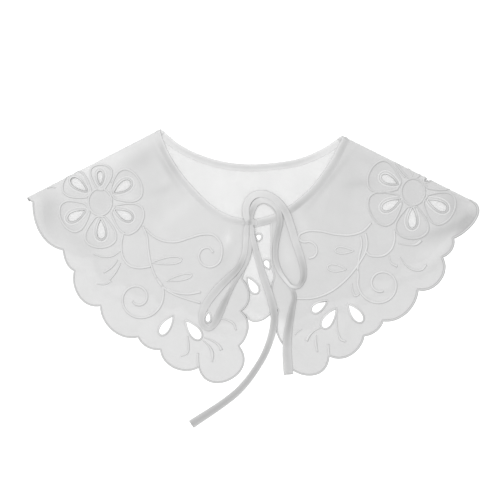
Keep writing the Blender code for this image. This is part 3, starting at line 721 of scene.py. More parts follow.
class FrontLay(Lay):
    """A front: turned over its shoulder fold, over the back and down past its hem."""

    level = FRONT_LEVEL

    def __init__(self, fold: Fold, reach: BackReach, creases: Rows) -> None:
        """Take the fold, the back's reach and the soft folds of this front.

        Args:
            fold: the shoulder fold.
            reach: how far the back reaches.
            creases: the front's soft folds.
        """
        self.fold = fold
        self.reach = reach
        self.creases = creases

    def lift(self, spots: np.ndarray) -> np.ndarray:
        """How far the front is lifted off the surface at each spot.

        Args:
            spots: places on the flat cloth.

        Returns:
            One height for each spot.
        """
        depth = self.fold.depth(spots)
        over_back = 1.0 - smoothstep(self.reach.overhang(spots) / DROP_LENGTH)
        beside_fold = 1.0 - smoothstep((depth - FOLD_HOLD) / DROP_LENGTH)
        lift = LAP * np.maximum(over_back, beside_fold)
        free = smoothstep(depth / FOLD_EASE)
        lift += (2 * FOLD_RADIUS - LAP) * (1.0 - free)
        return lift + bumps(spots, self.creases) * free

    def place(self, spots: np.ndarray, outward: float | np.ndarray) -> np.ndarray:
        """Where points of the cloth lie, outward of the cloth's middle.

        Args:
            spots: places on the flat cloth.
            outward: how far outward of the cloth's middle.

        Returns:
            The points in space, in millimetres.
        """
        height = np.broadcast_to(self.level + np.asarray(outward, float), len(spots))
        top = smoothstep(1.0 + self.fold.depth(spots) / FOLD_RADIUS)
        height = np.minimum(height, UNDER_LIMIT + top)
        return self.fold.place(spots, height, self.lift(spots))

    def holds(self, spots: np.ndarray) -> np.ndarray:
        """Whether each spot lies on this side of the short return under the fold."""
        return self.fold.depth(spots) > -UNDER_LENGTH


# Meshes


class Draft:
    """Points, faces and cloth places gathered for one mesh."""

    def __init__(self) -> None:
        """Start empty."""
        self.points: list[np.ndarray] = []
        self.places: list[np.ndarray] = []
        self.shade_and_density_values: list[np.ndarray] = []
        self.faces: list[tuple[int, ...]] = []
        self.count = 0

    def add(self, points: np.ndarray, faces: Sequence[Sequence[int]], places: np.ndarray,
            close: np.ndarray) -> None:
        """Add points and faces, with each point's place on the cloth and its painted shade and density
        there.

        Args:
            points: points in space, in millimetres.
            faces: the points of each face, by their number among these.
            places: their places on the cloth, in metres.
            close: the painted shade at each point, with the denser look of filled motifs, from 0 to 1.
        """
        self.faces += [tuple(int(i) + self.count for i in face) for face in faces]
        self.points.append(points)
        self.places.append(places)
        self.shade_and_density_values.append(close)
        self.count += len(points)

    def build(self, name: str, material: bpy.types.Material) -> bpy.types.Object:
        """Make the mesh an object that rides on the collar, with its material and UV map.

        Args:
            name: the piece's name.
            material: its material.

        Returns:
            The piece.
        """
        points = np.vstack(self.points)
        points[:, :2] -= MIDDLE
        mesh = bpy.data.meshes.new(name)
        mesh.from_pydata((points * MM).tolist(), [], self.faces)
        places = np.vstack(self.places)
        corners = np.empty(len(mesh.loops), int)
        mesh.loops.foreach_get("vertex_index", corners)
        layer = mesh.uv_layers.new(name="cloth")
        layer.data.foreach_set("uv", places[corners].ravel())
        close = mesh.attributes.new("close", "FLOAT", "POINT")
        close.data.foreach_set("value", np.concatenate(self.shade_and_density_values))
        mesh.materials.append(material)
        mesh.shade_smooth()
        piece = bpy.data.objects.new(name, mesh)
        bpy.context.scene.collection.objects.link(piece)
        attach(piece, ROOT)
        LOG.info("%s: %d points, %d faces", name, len(points), len(self.faces))
        return piece


def loft(draft: Draft, lines: Sequence[Sequence[np.ndarray]], closed: bool) -> None:
    """A closed tube whose long lines are the given ones.

    Args:
        draft: the mesh that the tube is added to.
        lines: for each corner of the section, in order round it, the points along the tube,
        their places on the cloth, and their painted shade and density there.
        closed: whether the tube's end meets its start.
    """
    points, places, close = (np.stack(column, axis=1) for column in zip(*lines))
    count, corners = close.shape
    faces: list[tuple[int, ...]] = []
    for index in range(count if closed else count - 1):
        here = index * corners
        there = ((index + 1) % count) * corners
        for corner in range(corners):
            following = (corner + 1) % corners
            faces.append((here + corner, there + corner, there + following, here + following))
    if not closed:
        faces.append(tuple(range(corners)))
        faces.append(tuple((count - 1) * corners + corner for corner in reversed(range(corners))))
    draft.add(points.reshape(-1, 3), faces, places.reshape(-1, 2), close.ravel())


# A thread's section, clockwise from its left: share of half the width, share of the height,
# and how far the stitches' painted shade holds there, from their crown to where they turn down
THREAD_SECTION = (
    (-1.0, 0.0, 1.0), (-0.65, 0.66, 1.0), (-0.25, 0.95, 0.0), (0.25, 0.95, 0.0), (0.65, 0.66, 1.0),
    (1.0, 0.0, 1.0), (0.6, -0.5, 1.0), (-0.6, -0.5, 1.0),
)


def thread(draft: Draft, line: np.ndarray, width: float | np.ndarray, height: float, lay: Lay,
           closed: bool = False, crown: float | np.ndarray = BRIGHT_CROWN,
           shade: float | np.ndarray = SIDE_SHADE, facing: float = SHADE_FACING) -> None:
    """Satin stitches laid along a line of the cloth, as far as there is cloth under a closed one.

    Args:
        draft: the mesh that the stitches are added to.
        line: the line's spots on the flat cloth.
        width: the width of the stitches, or one for each spot.
        height: how far they stand out of the cloth.
        lay: how the cloth lies.
        closed: whether the line's end meets its start.
        crown: the painted shade on the stitches' crown, or one value for each spot.
        shade: the painted shade along their sides, or one value for each spot.
        facing: the share of that painted shade on the side that faces the light.
    """
    width, crown, shade = (np.broadcast_to(value, len(line)) for value in (width, crown, shade))
    held = lay.holds(line)
    if closed and not held.all():
        start = int(np.flatnonzero(held & ~np.roll(held, 1))[0])
        kept = (start + np.arange(int(held.sum()))) % len(line)
        line, width, crown, shade = line[kept], width[kept], crown[kept], shade[kept]
        closed = False
    side = sides(line, closed)
    half = width / 2
    run = run_along(line)
    lit = side @ TO_LIGHT
    lines = []
    for across, up, dark in THREAD_SECTION:
        points = lay.place(line + side * half[:, None] * across, up * height)
        places = np.column_stack((run, half * across)) * MM
        # Painted shade: darker down the sides, most on the side away from the light
        turned = (1.0 - lit * np.sign(across)) / 2
        close = crown + ((facing + (1.0 - facing) * turned) * shade - crown) * dark
        lines.append((points, places, close))
    loft(draft, lines, closed)


@dataclass
class Panel:
    """A cut panel of the sheer cloth.

    Attributes:
        name: the piece's name.
        node: the solid it stands for.
        ring: the panel's outline on the flat cloth.
        holes: its cut eyelets.
        guides: lines that the mesh has to follow.
        lay: how the cloth lies.
        shades: soft darker and lighter bands of painted shade and painted light.
        close: its own tone between them.
        filled: outlines of the motifs that are filled with stitches.
        area: its area without the eyelets, worked out when it is cut.
    """

    name: str
    node: str
    ring: np.ndarray
    holes: list[np.ndarray]
    guides: list[np.ndarray]
    lay: Lay
    shades: Rows
    close: float = 0.0
    filled: Sequence[np.ndarray] = ()
    area: float = 0.0

    @property
    def size(self) -> np.ndarray:
        """The flat panel's size each way."""
        return np.ptp(self.ring, axis=0)

    def shade_and_density_values(self, spots: np.ndarray) -> np.ndarray:
        """The painted shade at each spot from its soft bands, with its own tone and the denser look of its
        filled motifs.

        Args:
            spots: places on the flat cloth.

        Returns:
            One value from 0 to 1 for each spot.
        """
        close = self.close + bumps(spots, self.shades)
        for ring in self.filled:
            near = np.linalg.norm(spots - ring.mean(axis=0), axis=1) < FILL_REACH
            reach = distance_to(spots[near], shut(ring))
            depth = np.where(inside(spots[near], ring), reach, -reach)
            close[near] += FILL_CLOSE * smoothstep(0.5 + depth / FILL_EDGE)
        return np.clip(close, 0.0, 1.0)

    def loose_spots(self) -> np.ndarray:
        """Evenly spread spots inside the outline, clear of every line.

        Returns:
            The spots.
        """
        low, high = self.ring.min(axis=0), self.ring.max(axis=0)
        rows = []
        for index, y in enumerate(np.arange(low[1], high[1], MESH_ROW)):
            x = np.arange(low[0] + (index % 2) * MESH_STEP / 2, high[0], MESH_STEP)
            rows.append(np.column_stack((x, np.full(len(x), y))))
        spots = np.vstack(rows)
        spots = spots[inside(spots, self.ring)]
        for line in [shut(ring) for ring in (self.ring, *self.holes)] + self.guides:
            spots = spots[distance_to(spots, line) > MESH_CLEAR]
        return spots

    def cut(self) -> tuple[np.ndarray, np.ndarray]:
        """Spots and triangles of the flat cloth, with its eyelets left open.

        Returns:
            The spots, and the three spots of each triangle by number.
        """
        spots: list[np.ndarray] = []
        edges: list[tuple[int, int]] = []
        count = 0
        for index, chain in enumerate([self.ring, *self.holes, *self.guides]):
            edges += [(count + i, count + i + 1) for i in range(len(chain) - 1)]
            if index <= len(self.holes):
                edges.append((count + len(chain) - 1, count))
            spots.append(chain)
            count += len(chain)
        spots.append(self.loose_spots())
        flat = [Vector(spot) for spot in np.vstack(spots)]
        result = geometry.delaunay_2d_cdt(flat, edges, [], 0, MESH_MERGE)
        found = np.array([tuple(spot) for spot in result[0]])
        faces = np.array(result[2])
        middles = found[faces].mean(axis=1)
        keep = inside(middles, self.ring)
        for hole in self.holes:
            keep &= ~inside(middles, hole)
        faces = faces[keep]
        a, b, c = (found[faces[:, i]] for i in range(3))
        turn = (b[:, 0] - a[:, 0]) * (c[:, 1] - a[:, 1]) - (b[:, 1] - a[:, 1]) * (c[:, 0] - a[:, 0])
        faces[turn < 0] = faces[turn < 0][:, ::-1]
        self.area = float(np.abs(turn).sum() / 2)
        used, index = np.unique(faces, return_inverse=True)
        return found[used], index.reshape(faces.shape)

    def build(self, material: bpy.types.Material) -> bpy.types.Object:
        """Make the panel, a thin closed shell about the middle of its solid.

        Args:
            material: its cloth.

        Returns:
            The piece.
        """
        spots, faces = self.cut()
        draft = Draft()
        # Each spot carries its painted shade with its own tone and the denser look of filled motifs
        draft.add(self.lay.place(spots, 0.0), faces, spots * MM, self.shade_and_density_values(spots))
        piece = draft.build(self.name, material)
        solidify = piece.modifiers.new("thickness", "SOLIDIFY")
        solidify.thickness = SHEER_THICKNESS * MM
        solidify.offset = 0.0
        bpy.ops.object.select_all(action="DESELECT")
        bpy.context.view_layer.objects.active = piece
        piece.select_set(True)
        bpy.ops.object.modifier_apply(modifier=solidify.name)
        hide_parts(self.node)
        return piece


# Finishes


def linear(code: str) -> tuple[float, float, float, float]:
    """A colour given as sRGB hex, as the linear values that a shader takes."""
    values = [int(code[i:i + 2], 16) / 255 for i in (1, 3, 5)]
    return tuple(v / 12.92 if v <= 0.04045 else ((v + 0.055) / 1.055) ** 2.4 for v in values) + (1.0,)


def add_node(tree: bpy.types.NodeTree, kind: str, inputs: dict[int | str, object] | None = None,
             **settings: object) -> bpy.types.Node:
    """Add a node with its settings, and its inputs as plain values or as links.

    Args:
        tree: the node tree.
        kind: the node's type.
        inputs: for sockets by name or number, a value or the socket that feeds them.
        settings: the node's own properties.

    Returns:
        The node.
    """
    node = tree.nodes.new(kind)
    for name, value in settings.items():
        setattr(node, name, value)
    for name, value in (inputs or {}).items():
        if isinstance(value, bpy.types.NodeSocket):
            tree.links.new(value, node.inputs[name])
        else:
            node.inputs[name].default_value = value
    return node


# The cloth's faint clouds, how much its threads fleck them, and the values where a fleck is
# wholly dark and wholly light
CLOUDS = {"Scale": 55.0, "Detail": 3.0, "Roughness": 0.55}
FLECK = 0.16
FLECK_DARK = 0.3
FLECK_LIGHT = 0.7
RELIEF_STRENGTH = 0.5
FIBRE_IOR = 1.5
FIBRE_SPECULAR = 0.3


@dataclass(frozen=True)
class Weave:
    """A woven or stitched white finish.

    Attributes:
        name: the material's name.
        light: colour of its lighter threads.
        dark: colour between them.
        deep: the darker colour that painted shade and the denser cloth of filled motifs mix towards.
        cover: how much of the light one side stops.
        across: thread spacing across the cloth in millimetres.
        along: thread spacing along it in millimetres, or 0 for stitches that lie side by side.
        relief: depth of the threads in millimetres.
        turn: how far the weave is turned, in degrees.
        roughness: roughness of the surface.
        sheen: strength of its soft sheen.
    """

    name: str
    light: str
    dark: str
    deep: str
    cover: float
    across: float
    along: float
    relief: float
    turn: float = 0.0
    roughness: float = 0.6
    sheen: float = 0.1

    def material(self) -> bpy.types.Material:
        """Make the material.

        Returns:
            The material.
        """
        material = bpy.data.materials.new(self.name)
        material.use_nodes = True
        tree = material.node_tree
        shader = tree.nodes["Principled BSDF"]
        place = add_node(tree, "ShaderNodeUVMap", uv_map="cloth")
        turned = add_node(tree, "ShaderNodeMapping", {
            "Vector": place.outputs["UV"], "Rotation": (0.0, 0.0, math.radians(self.turn))})
        split = add_node(tree, "ShaderNodeSeparateXYZ", {0: turned.outputs[0]})
        waves = []
        for axis, spacing in (("X", self.across), ("Y", self.along)):
            if spacing:
                angle = add_node(tree, "ShaderNodeMath", {
                    0: split.outputs[axis], 1: 2 * math.pi / (spacing * MM)}, operation="MULTIPLY")
                waves.append(add_node(tree, "ShaderNodeMath", {0: angle.outputs[0]}, operation="SINE"))
        height = waves[0].outputs[0]
        if len(waves) > 1:
            height = add_node(tree, "ShaderNodeMath", {0: height, 1: waves[1].outputs[0]},
                              operation="MULTIPLY").outputs[0]
        cloud = add_node(tree, "ShaderNodeTexNoise", {"Vector": place.outputs["UV"], **CLOUDS})
        fleck = add_node(tree, "ShaderNodeMath", {0: height, 1: FLECK, 2: cloud.outputs["Fac"]},
                         operation="MULTIPLY_ADD")
        share = add_node(tree, "ShaderNodeMapRange", {
            0: fleck.outputs[0], 1: FLECK_DARK, 2: FLECK_LIGHT})
        tone = add_node(tree, "ShaderNodeMix", {
            "Factor": share.outputs[0], 6: linear(self.dark), 7: linear(self.light)}, data_type="RGBA")
        # The painted shade, with the denser look of filled motifs, mixes the colour towards the deep one
        close = add_node(tree, "ShaderNodeAttribute", attribute_name="close")
        colour = add_node(tree, "ShaderNodeMix", {
            "Factor": close.outputs["Fac"], 6: tone.outputs[2], 7: linear(self.deep)}, data_type="RGBA")
        bump = add_node(tree, "ShaderNodeBump", {
            "Height": height, "Strength": RELIEF_STRENGTH, "Distance": self.relief * MM})
        tree.links.new(colour.outputs[2], shader.inputs["Base Color"])
        tree.links.new(bump.outputs[0], shader.inputs["Normal"])
        shader.inputs["Roughness"].default_value = self.roughness
        shader.inputs["Sheen Weight"].default_value = self.sheen
        shader.inputs["IOR"].default_value = FIBRE_IOR
        shader.inputs["Specular IOR Level"].default_value = FIBRE_SPECULAR
        shader.inputs["Alpha"].default_value = self.cover
        return material


# Polyester organza: a plain weave of fine bright threads about 0.2 mm apart, so open that
# what lies under it shows. Drawn at 0.9 mm, the finest that a close view still shows.
FRONT_ORGANZA = Weave("organza_front_plain_weave", "#EBEBEB", "#E6E6E6", "#BBBBBB",
                      cover=0.60, across=0.9, along=0.9, relief=0.03)
BACK_ORGANZA = Weave("organza_back_plain_weave", "#DFDFDF", "#D9D9D9", "#BBBBBB",
                     cover=0.42, across=0.9, along=0.9, relief=0.03)
# Rayon satin stitch: close parallel threads across the line, drawn 0.7 mm apart.
SATIN_STITCH = Weave("rayon_satin_stitch", "#E4E4E4", "#D6D6D6", "#A4A4A4",
                     cover=1.0, across=0.7, along=0.0, relief=0.06, roughness=0.45)
# Bias-cut voile folded to four layers: close, with the threads at 45 degrees to the edge.
BIAS_BINDING = Weave("bias_voile_binding", "#E4E4E4", "#DBDBDB", "#A0A0A0",
                     cover=0.68, across=0.8, along=0.8, relief=0.04, turn=45.0)
BIAS_TIE = Weave("bias_voile_tie", "#DDDDDD", "#D3D3D3", "#929292",
                 cover=0.76, across=0.8, along=0.8, relief=0.04, turn=45.0)


# Flowers and scrolls


def petal_ring(middle: Sequence[float], row: Sequence[float]) -> np.ndarray:
    """A petal's closed outline.

    Args:
        middle: the flower's middle.
        row: the petal's heading, reach and half opening.

    Returns:
        The outline's spots.
    """
    heading, reach, opening = row
    half = [(opening * share, reach * out) for share, out in PETAL_SHAPE]
    polar = half + [(-turn, out) for turn, out in half[-2::-1]]
    rows = [
        (middle[0] + out * math.cos(math.radians(heading + turn)),
         middle[1] + out * math.sin(math.radians(heading + turn)))
        for turn, out in polar
    ]
    return evenly(smooth_rows(rows + [rows[0]], PETAL_CURVE)[:-1], EDGE_STEP, closed=True)


def oval(middle: Sequence[float], half_x: float, half_y: float) -> np.ndarray:
    """A closed oval."""
    angle = -2 * math.pi * np.arange(OVAL_POINTS) / OVAL_POINTS
    return np.column_stack((middle[0] + half_x * np.cos(angle), middle[1] + half_y * np.sin(angle)))


@dataclass(frozen=True)
class Flower:
    """A cutwork flower: a disc, its petals and the drop eyelet cut in each.

    Attributes:
        middle: the flower's middle.
        petals: heading, reach and half opening of each petal.
        cuts: heading, near end, far end and width of each cut eyelet.
        crown: the painted shade on the crown of the outlines' stitches.
    """

    middle: tuple[float, float]
    petals: Rows
    cuts: Rows
    crown: float

    def outlines(self) -> list[np.ndarray]:
        """The outlines of the petals and of the disc."""
        return [petal_ring(self.middle, row) for row in self.petals] + [oval(self.middle, *DISC)]

    def eyelets(self) -> list[np.ndarray]:
        """The cut eyelets' outlines.

        Returns:
            One closed drop for each eyelet.
        """
        drops = []
        for heading, near, far, width in self.cuts:
            away = np.array((math.cos(math.radians(heading)), math.sin(math.radians(heading))))
            drops.append(teardrop(self.middle + away * near, self.middle + away * far, width))
        return drops

    def stitch(self, draft: Draft, lay: Lay) -> None:
        """Stitch the outlines of the petals and the disc, and a finer row round each eyelet.

        Args:
            draft: the mesh that the stitches are added to.
            lay: how the cloth lies.
        """
        *petals, disc = self.outlines()
        for petal in petals:
            thread(draft, petal, OUTLINE_WIDTH, THREAD_HEIGHT, lay, True, self.crown)
        for hole in self.eyelets():
            edge = evenly(hole, EDGE_STEP, closed=True)
            halo = evenly(offset_line(edge, HALO, True), EDGE_STEP, closed=True)
            thread(draft, halo, FINE_WIDTH, FINE_HEIGHT, lay, True, BRIGHT_CROWN, HALO_SHADE)
        thread(draft, disc, OUTLINE_WIDTH, THREAD_HEIGHT, lay, True, self.crown)


LEFT_FLOWER = Flower((-137.0, 49.0), LEFT_PETALS, LEFT_CUTS, 0.62)
RIGHT_FLOWER = Flower((144.5, 58.0), RIGHT_PETALS, RIGHT_CUTS, 0.8)


# Stitching: lines are rows of x and y, drops are tip x, tip y, round end x, round end y and
# width, and strokes are rows of x, y and width.
LEFT_LINES = (
    [(-115.7, 22.1), (-117.9, 10.3), (-116.5, -0.5), (-111.2, -7.7), (-103.0, -10.3), (-91.4, -9.0)],
    [(-98.5, 27.4), (-95.0, 18.4), (-93.6, 5.9), (-91.4, -6.8), (-86.9, -18.4), (-80.5, -27.4),
     (-70.7, -33.8), (-59.0, -38.2), (-46.4, -41.9)],
    [(-77.9, -28.8), (-68.9, -32.4), (-58.1, -33.8), (-46.4, -31.9)],
    [(-95.9, 24.8), (-90.5, 19.4), (-81.5, 14.4), (-68.9, 13.1), (-56.2, 16.7), (-44.6, 19.8),
     (-34.6, 18.9), (-28.8, 12.4), (-27.3, 3.2), (-30.4, -6.0), (-38.0, -9.6), (-45.4, -6.6),
     (-48.2, 0.2), (-45.3, 6.4), (-39.2, 7.7), (-35.0, 3.4)],
    [(-86.9, -18.4)] + spiral((-103.0, -37.4), 24.3, 5.4, 24.0, -534.0),
    [(-48.6, -99.5), (-49.1, -93.2), (-49.1, -86.9)],
)
LEFT_DROPS = ((-90.5, -5.4, -63.5, -2.7, 6.5), (-77.9, -22.1, -54.5, -16.7, 5.0))
LEFT_STROKES = (
    [(-58.5, -71.5, 1.4), (-57.6, -79.7, 2.2), (-58.5, -86.9, 1.8), (-64.4, -90.0, 0.8)],
    [(-43.6, -72.9, 0.8), (-35.6, -76.0, 1.8), (-30.2, -80.1, 2.4), (-27.9, -84.2, 3.4)],
    [(-44.6, -75.6, 0.8), (-39.1, -80.5, 2.0), (-36.0, -87.8, 3.2), (-36.5, -95.0, 1.6)],
    [(-34.6, -55.4, 0.8), (-23.9, -56.7, 1.6), (-16.7, -60.8, 2.2), (-14.8, -66.2, 1.6)],
    [(-142.7, 1.8, 0.8), (-133.7, -0.5, 1.6), (-125.5, 0.5, 1.6), (-118.4, 5.0, 0.8)],
    [(-133.7, -14.8, 1.2), (-126.5, -9.5, 2.0), (-121.0, -3.1, 0.9)],
    [(-128.2, -21.2, 1.2), (-122.9, -14.0, 2.0), (-118.4, -5.9, 0.9)],
    [(-140.0, -24.8, 0.8), (-131.8, -24.8, 1.4), (-126.5, -22.1, 0.8)],
    [(-127.4, 66.2, 0.8), (-124.7, 70.7, 1.6), (-120.2, 76.0, 0.9)],
    [(-184.5, 61.0, 0.8), (-181.0, 62.4, 1.6), (-177.0, 61.6, 1.0)],
)
RIGHT_LINES = (
    [(102.0, 4.6), (105.0, 1.2), (110.5, 0.2), (118.4, 1.1), (124.7, 6.3), (127.8, 15.8), (127.4, 23.9)],
    [(101.5, 21.0), (103.0, 11.5), (101.0, 2.6), (97.7, -3.1), (89.5, -14.8), (79.7, -24.8),
     (68.0, -32.9), (54.5, -37.4), (39.1, -37.8)],
    [(97.0, 18.5), (98.2, 11.5), (96.0, 0.5), (94.5, -12.2)],
    [(106.7, 30.2), (99.5, 22.9), (88.7, 19.4), (75.2, 19.8), (59.0, 22.9), (47.2, 22.1),
     (41.8, 18.8), (42.4, 14.6), (46.5, 12.9), (51.5, 13.2), (56.5, 10.0), (58.0, 4.6),
     (55.4, -0.2), (50.4, -1.8)],
    [(94.5, -12.2)] + spiral((115.7, -24.8), 22.2, 6.6, 158.0, 490.0),
    [(68.9, -90.5), (68.4, -84.2), (68.0, -78.8)],
)
RIGHT_DROPS = ((90.9, 5.0, 74.2, 5.9, 6.0), (84.2, -11.7, 67.5, -9.5, 6.5))
RIGHT_STROKES = (
    [(62.6, -63.5, 0.8), (55.4, -67.0, 1.8), (50.9, -71.5, 2.6), (48.6, -76.0, 3.2)],
    [(57.6, -70.7, 0.9), (57.1, -78.8, 2.4), (58.5, -86.0, 1.8)],
    [(76.0, -47.2, 0.9), (76.0, -59.0, 1.2), (77.0, -68.9, 1.6), (80.1, -75.2, 2.4), (84.2, -76.5, 1.8)],
    [(131.0, 11.7, 0.8), (140.8, 10.3, 1.6), (147.2, 10.8, 2.6), (151.7, 14.4, 3.2)],
    [(132.8, -0.5, 0.8), (138.2, -8.1, 1.5), (145.3, -12.2, 2.0), (152.6, -11.7, 2.0), (156.2, -7.2, 2.4)],
    [(122.9, 0.5, 0.8), (124.7, -5.9, 1.8), (130.1, -9.0, 2.6)],
    [(38.2, -70.7, 0.8), (41.0, -67.0, 1.6), (44.6, -65.2, 0.8)],
    [(89.5, -23.9, 0.8), (90.0, -31.1, 1.8), (92.7, -35.6, 2.2), (95.9, -33.8, 1.6)],
    [(128.2, 83.2, 0.8), (131.8, 77.0, 1.4), (137.2, 70.7, 0.8)],
    [(140.0, 79.7, 0.9), (143.6, 75.2, 1.4), (142.7, 69.8, 0.9)],
)


# Bindings

# How far each front's binding runs on into the knot
INTO_KNOT = 2.6
# The binding's section: share of its width from the neck edge, and height about the cloth's middle
BINDING_SECTION = (
    (0.0, 0.0), (0.015, 0.16), (0.08, 0.34), (0.26, 0.48), (0.5, 0.5), (0.68, 0.43), (0.76, 0.34),
    (0.82, 0.34), (0.93, 0.2), (0.99, 0.08), (1.0, 0.0), (0.9, -0.2), (0.5, -0.22), (0.08, -0.18),
)


@dataclass(frozen=True)
class Binding:
    """The folded bias band on a neck edge, crowned and stitched down along its lower edge.

    Attributes:
        word: which neck edge it is on: back, left or right.
        width: its width.
        tones: share of its length, from the shoulder or from the picture's left, and its painted
            shade there.
        bands: share of its width from the neck edge, and the share of that painted shade there.
    """

    word: str
    width: float
    tones: Rows
    bands: Rows

    def build(self, neckline: np.ndarray, inner: float, lay: Lay,
              material: bpy.types.Material) -> bpy.types.Object:
        """Make the binding.

        Args:
            neckline: the neck edge on the flat cloth.
            inner: the side of that line that the band lies on, 1 to its left.
            lay: how the cloth lies.
            material: its cloth.

        Returns:
            The piece.
        """
        side = sides(neckline, False) * inner
        run = run_along(neckline)
        # Painted shade along the band and across it
        tone = at_stops(run, self.tones)
        lines = []
        for across, up in BINDING_SECTION:
            points = lay.place(neckline + side * across * self.width, up)
            places = np.column_stack((run, np.full(len(run), across * self.width))) * MM
            lines.append((points, places, tone * np.interp(across, *zip(*self.bands))))
        if inner > 0:
            lines.reverse()
        draft = Draft()
        loft(draft, lines, False)
        piece = draft.build("binding_" + self.word, material)
        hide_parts("neck_binding_" + self.word)
        return piece


BACK_BINDING = Binding(
    "back", 6.4,
    tones=((0.0, 0.1), (0.08, 0.1), (0.165, 0.36), (0.25, 0.27), (0.42, 0.37), (0.76, 0.38),
           (0.84, 0.18), (1.0, 0.05)),
    bands=((0.0, 0.2), (0.3, 0.7), (0.45, 1.0), (0.6, 0.7), (1.0, 0.1)),
)
LEFT_BINDING = Binding(
    "left", 6.0,
    tones=((0.0, 0.1), (0.1, 0.12), (0.18, 0.5), (0.33, 0.55), (0.44, 0.36), (0.8, 0.32), (1.0, 0.4)),
    bands=((0.0, 0.0), (0.15, 0.3), (0.3, 0.8), (0.45, 1.0), (0.8, 1.0), (1.0, 0.6)),
)
RIGHT_BINDING = Binding(
    "right", 7.0,
    tones=((0.0, 0.5), (0.15, 0.57), (0.45, 0.52), (0.6, 0.62), (0.68, 0.72), (0.76, 0.45),
           (0.92, 0.55), (1.0, 0.2)),
    bands=((0.0, 0.0), (0.14, 0.45), (0.28, 0.65), (0.42, 0.8), (0.56, 1.0), (0.7, 1.0),
           (0.85, 0.9), (1.0, 0.7)),
)


# Fronts and back


class Side(Enum):
    """A front of the collar, by the picture's sides, and which way its hem lies."""

    LEFT = -1.0
    RIGHT = 1.0


@dataclass(frozen=True)
class Pattern:
    """What one front is cut, stitched and shaded by.

    Attributes:
        side: which front it is.
        neck: its neckline.
        slant: how far the neckline runs inward under the fold, as a share of its way under it.
        tip: the outer end of the shoulder fold.
        hem: its scallops.
        hem_end: where the last of them ends.
        centre: its centre edge, from the neck down.
        eyelets: its cut eyelets outside the flower.
        flower: its flower.
        lines: its scrolls and veins.
        drops: its stitched drops.
        strokes: its single strokes.
        creases: its soft folds.
        shades: soft darker and lighter bands of painted shade and painted light.
        close: its own tone between them.
        binding: the binding of its neck.
    """

    side: Side
    neck: Rows
    slant: float
    tip: tuple[float, float]
    hem: Rows
    hem_end: Sequence[float]
    centre: Rows
    eyelets: Rows
    flower: Flower
    lines: Sequence[Rows]
    drops: Rows
    strokes: Sequence[Rows]
    creases: Rows
    shades: Rows
    close: float
    binding: Binding


LEFT_PATTERN = Pattern(
    Side.LEFT, NECK_LEFT, 0.45, (-203.0, 53.5), LEFT_HEM, LEFT_HEM_END, ((-4.0, 28.0), (-4.0, -5.0)),
    LEFT_EYELETS, LEFT_FLOWER, LEFT_LINES, LEFT_DROPS, LEFT_STROKES, LEFT_CREASES, LEFT_SHADES, 0.42,
    LEFT_BINDING,
)
RIGHT_PATTERN = Pattern(
    Side.RIGHT, NECK_RIGHT, 0.68, (196.0, 51.5), RIGHT_HEM, RIGHT_HEM_END, ((16.5, 30.5), (16.5, -7.0)),
    RIGHT_EYELETS, RIGHT_FLOWER, RIGHT_LINES, RIGHT_DROPS, RIGHT_STROKES, RIGHT_CREASES, RIGHT_SHADES,
    0.5, RIGHT_BINDING,
)


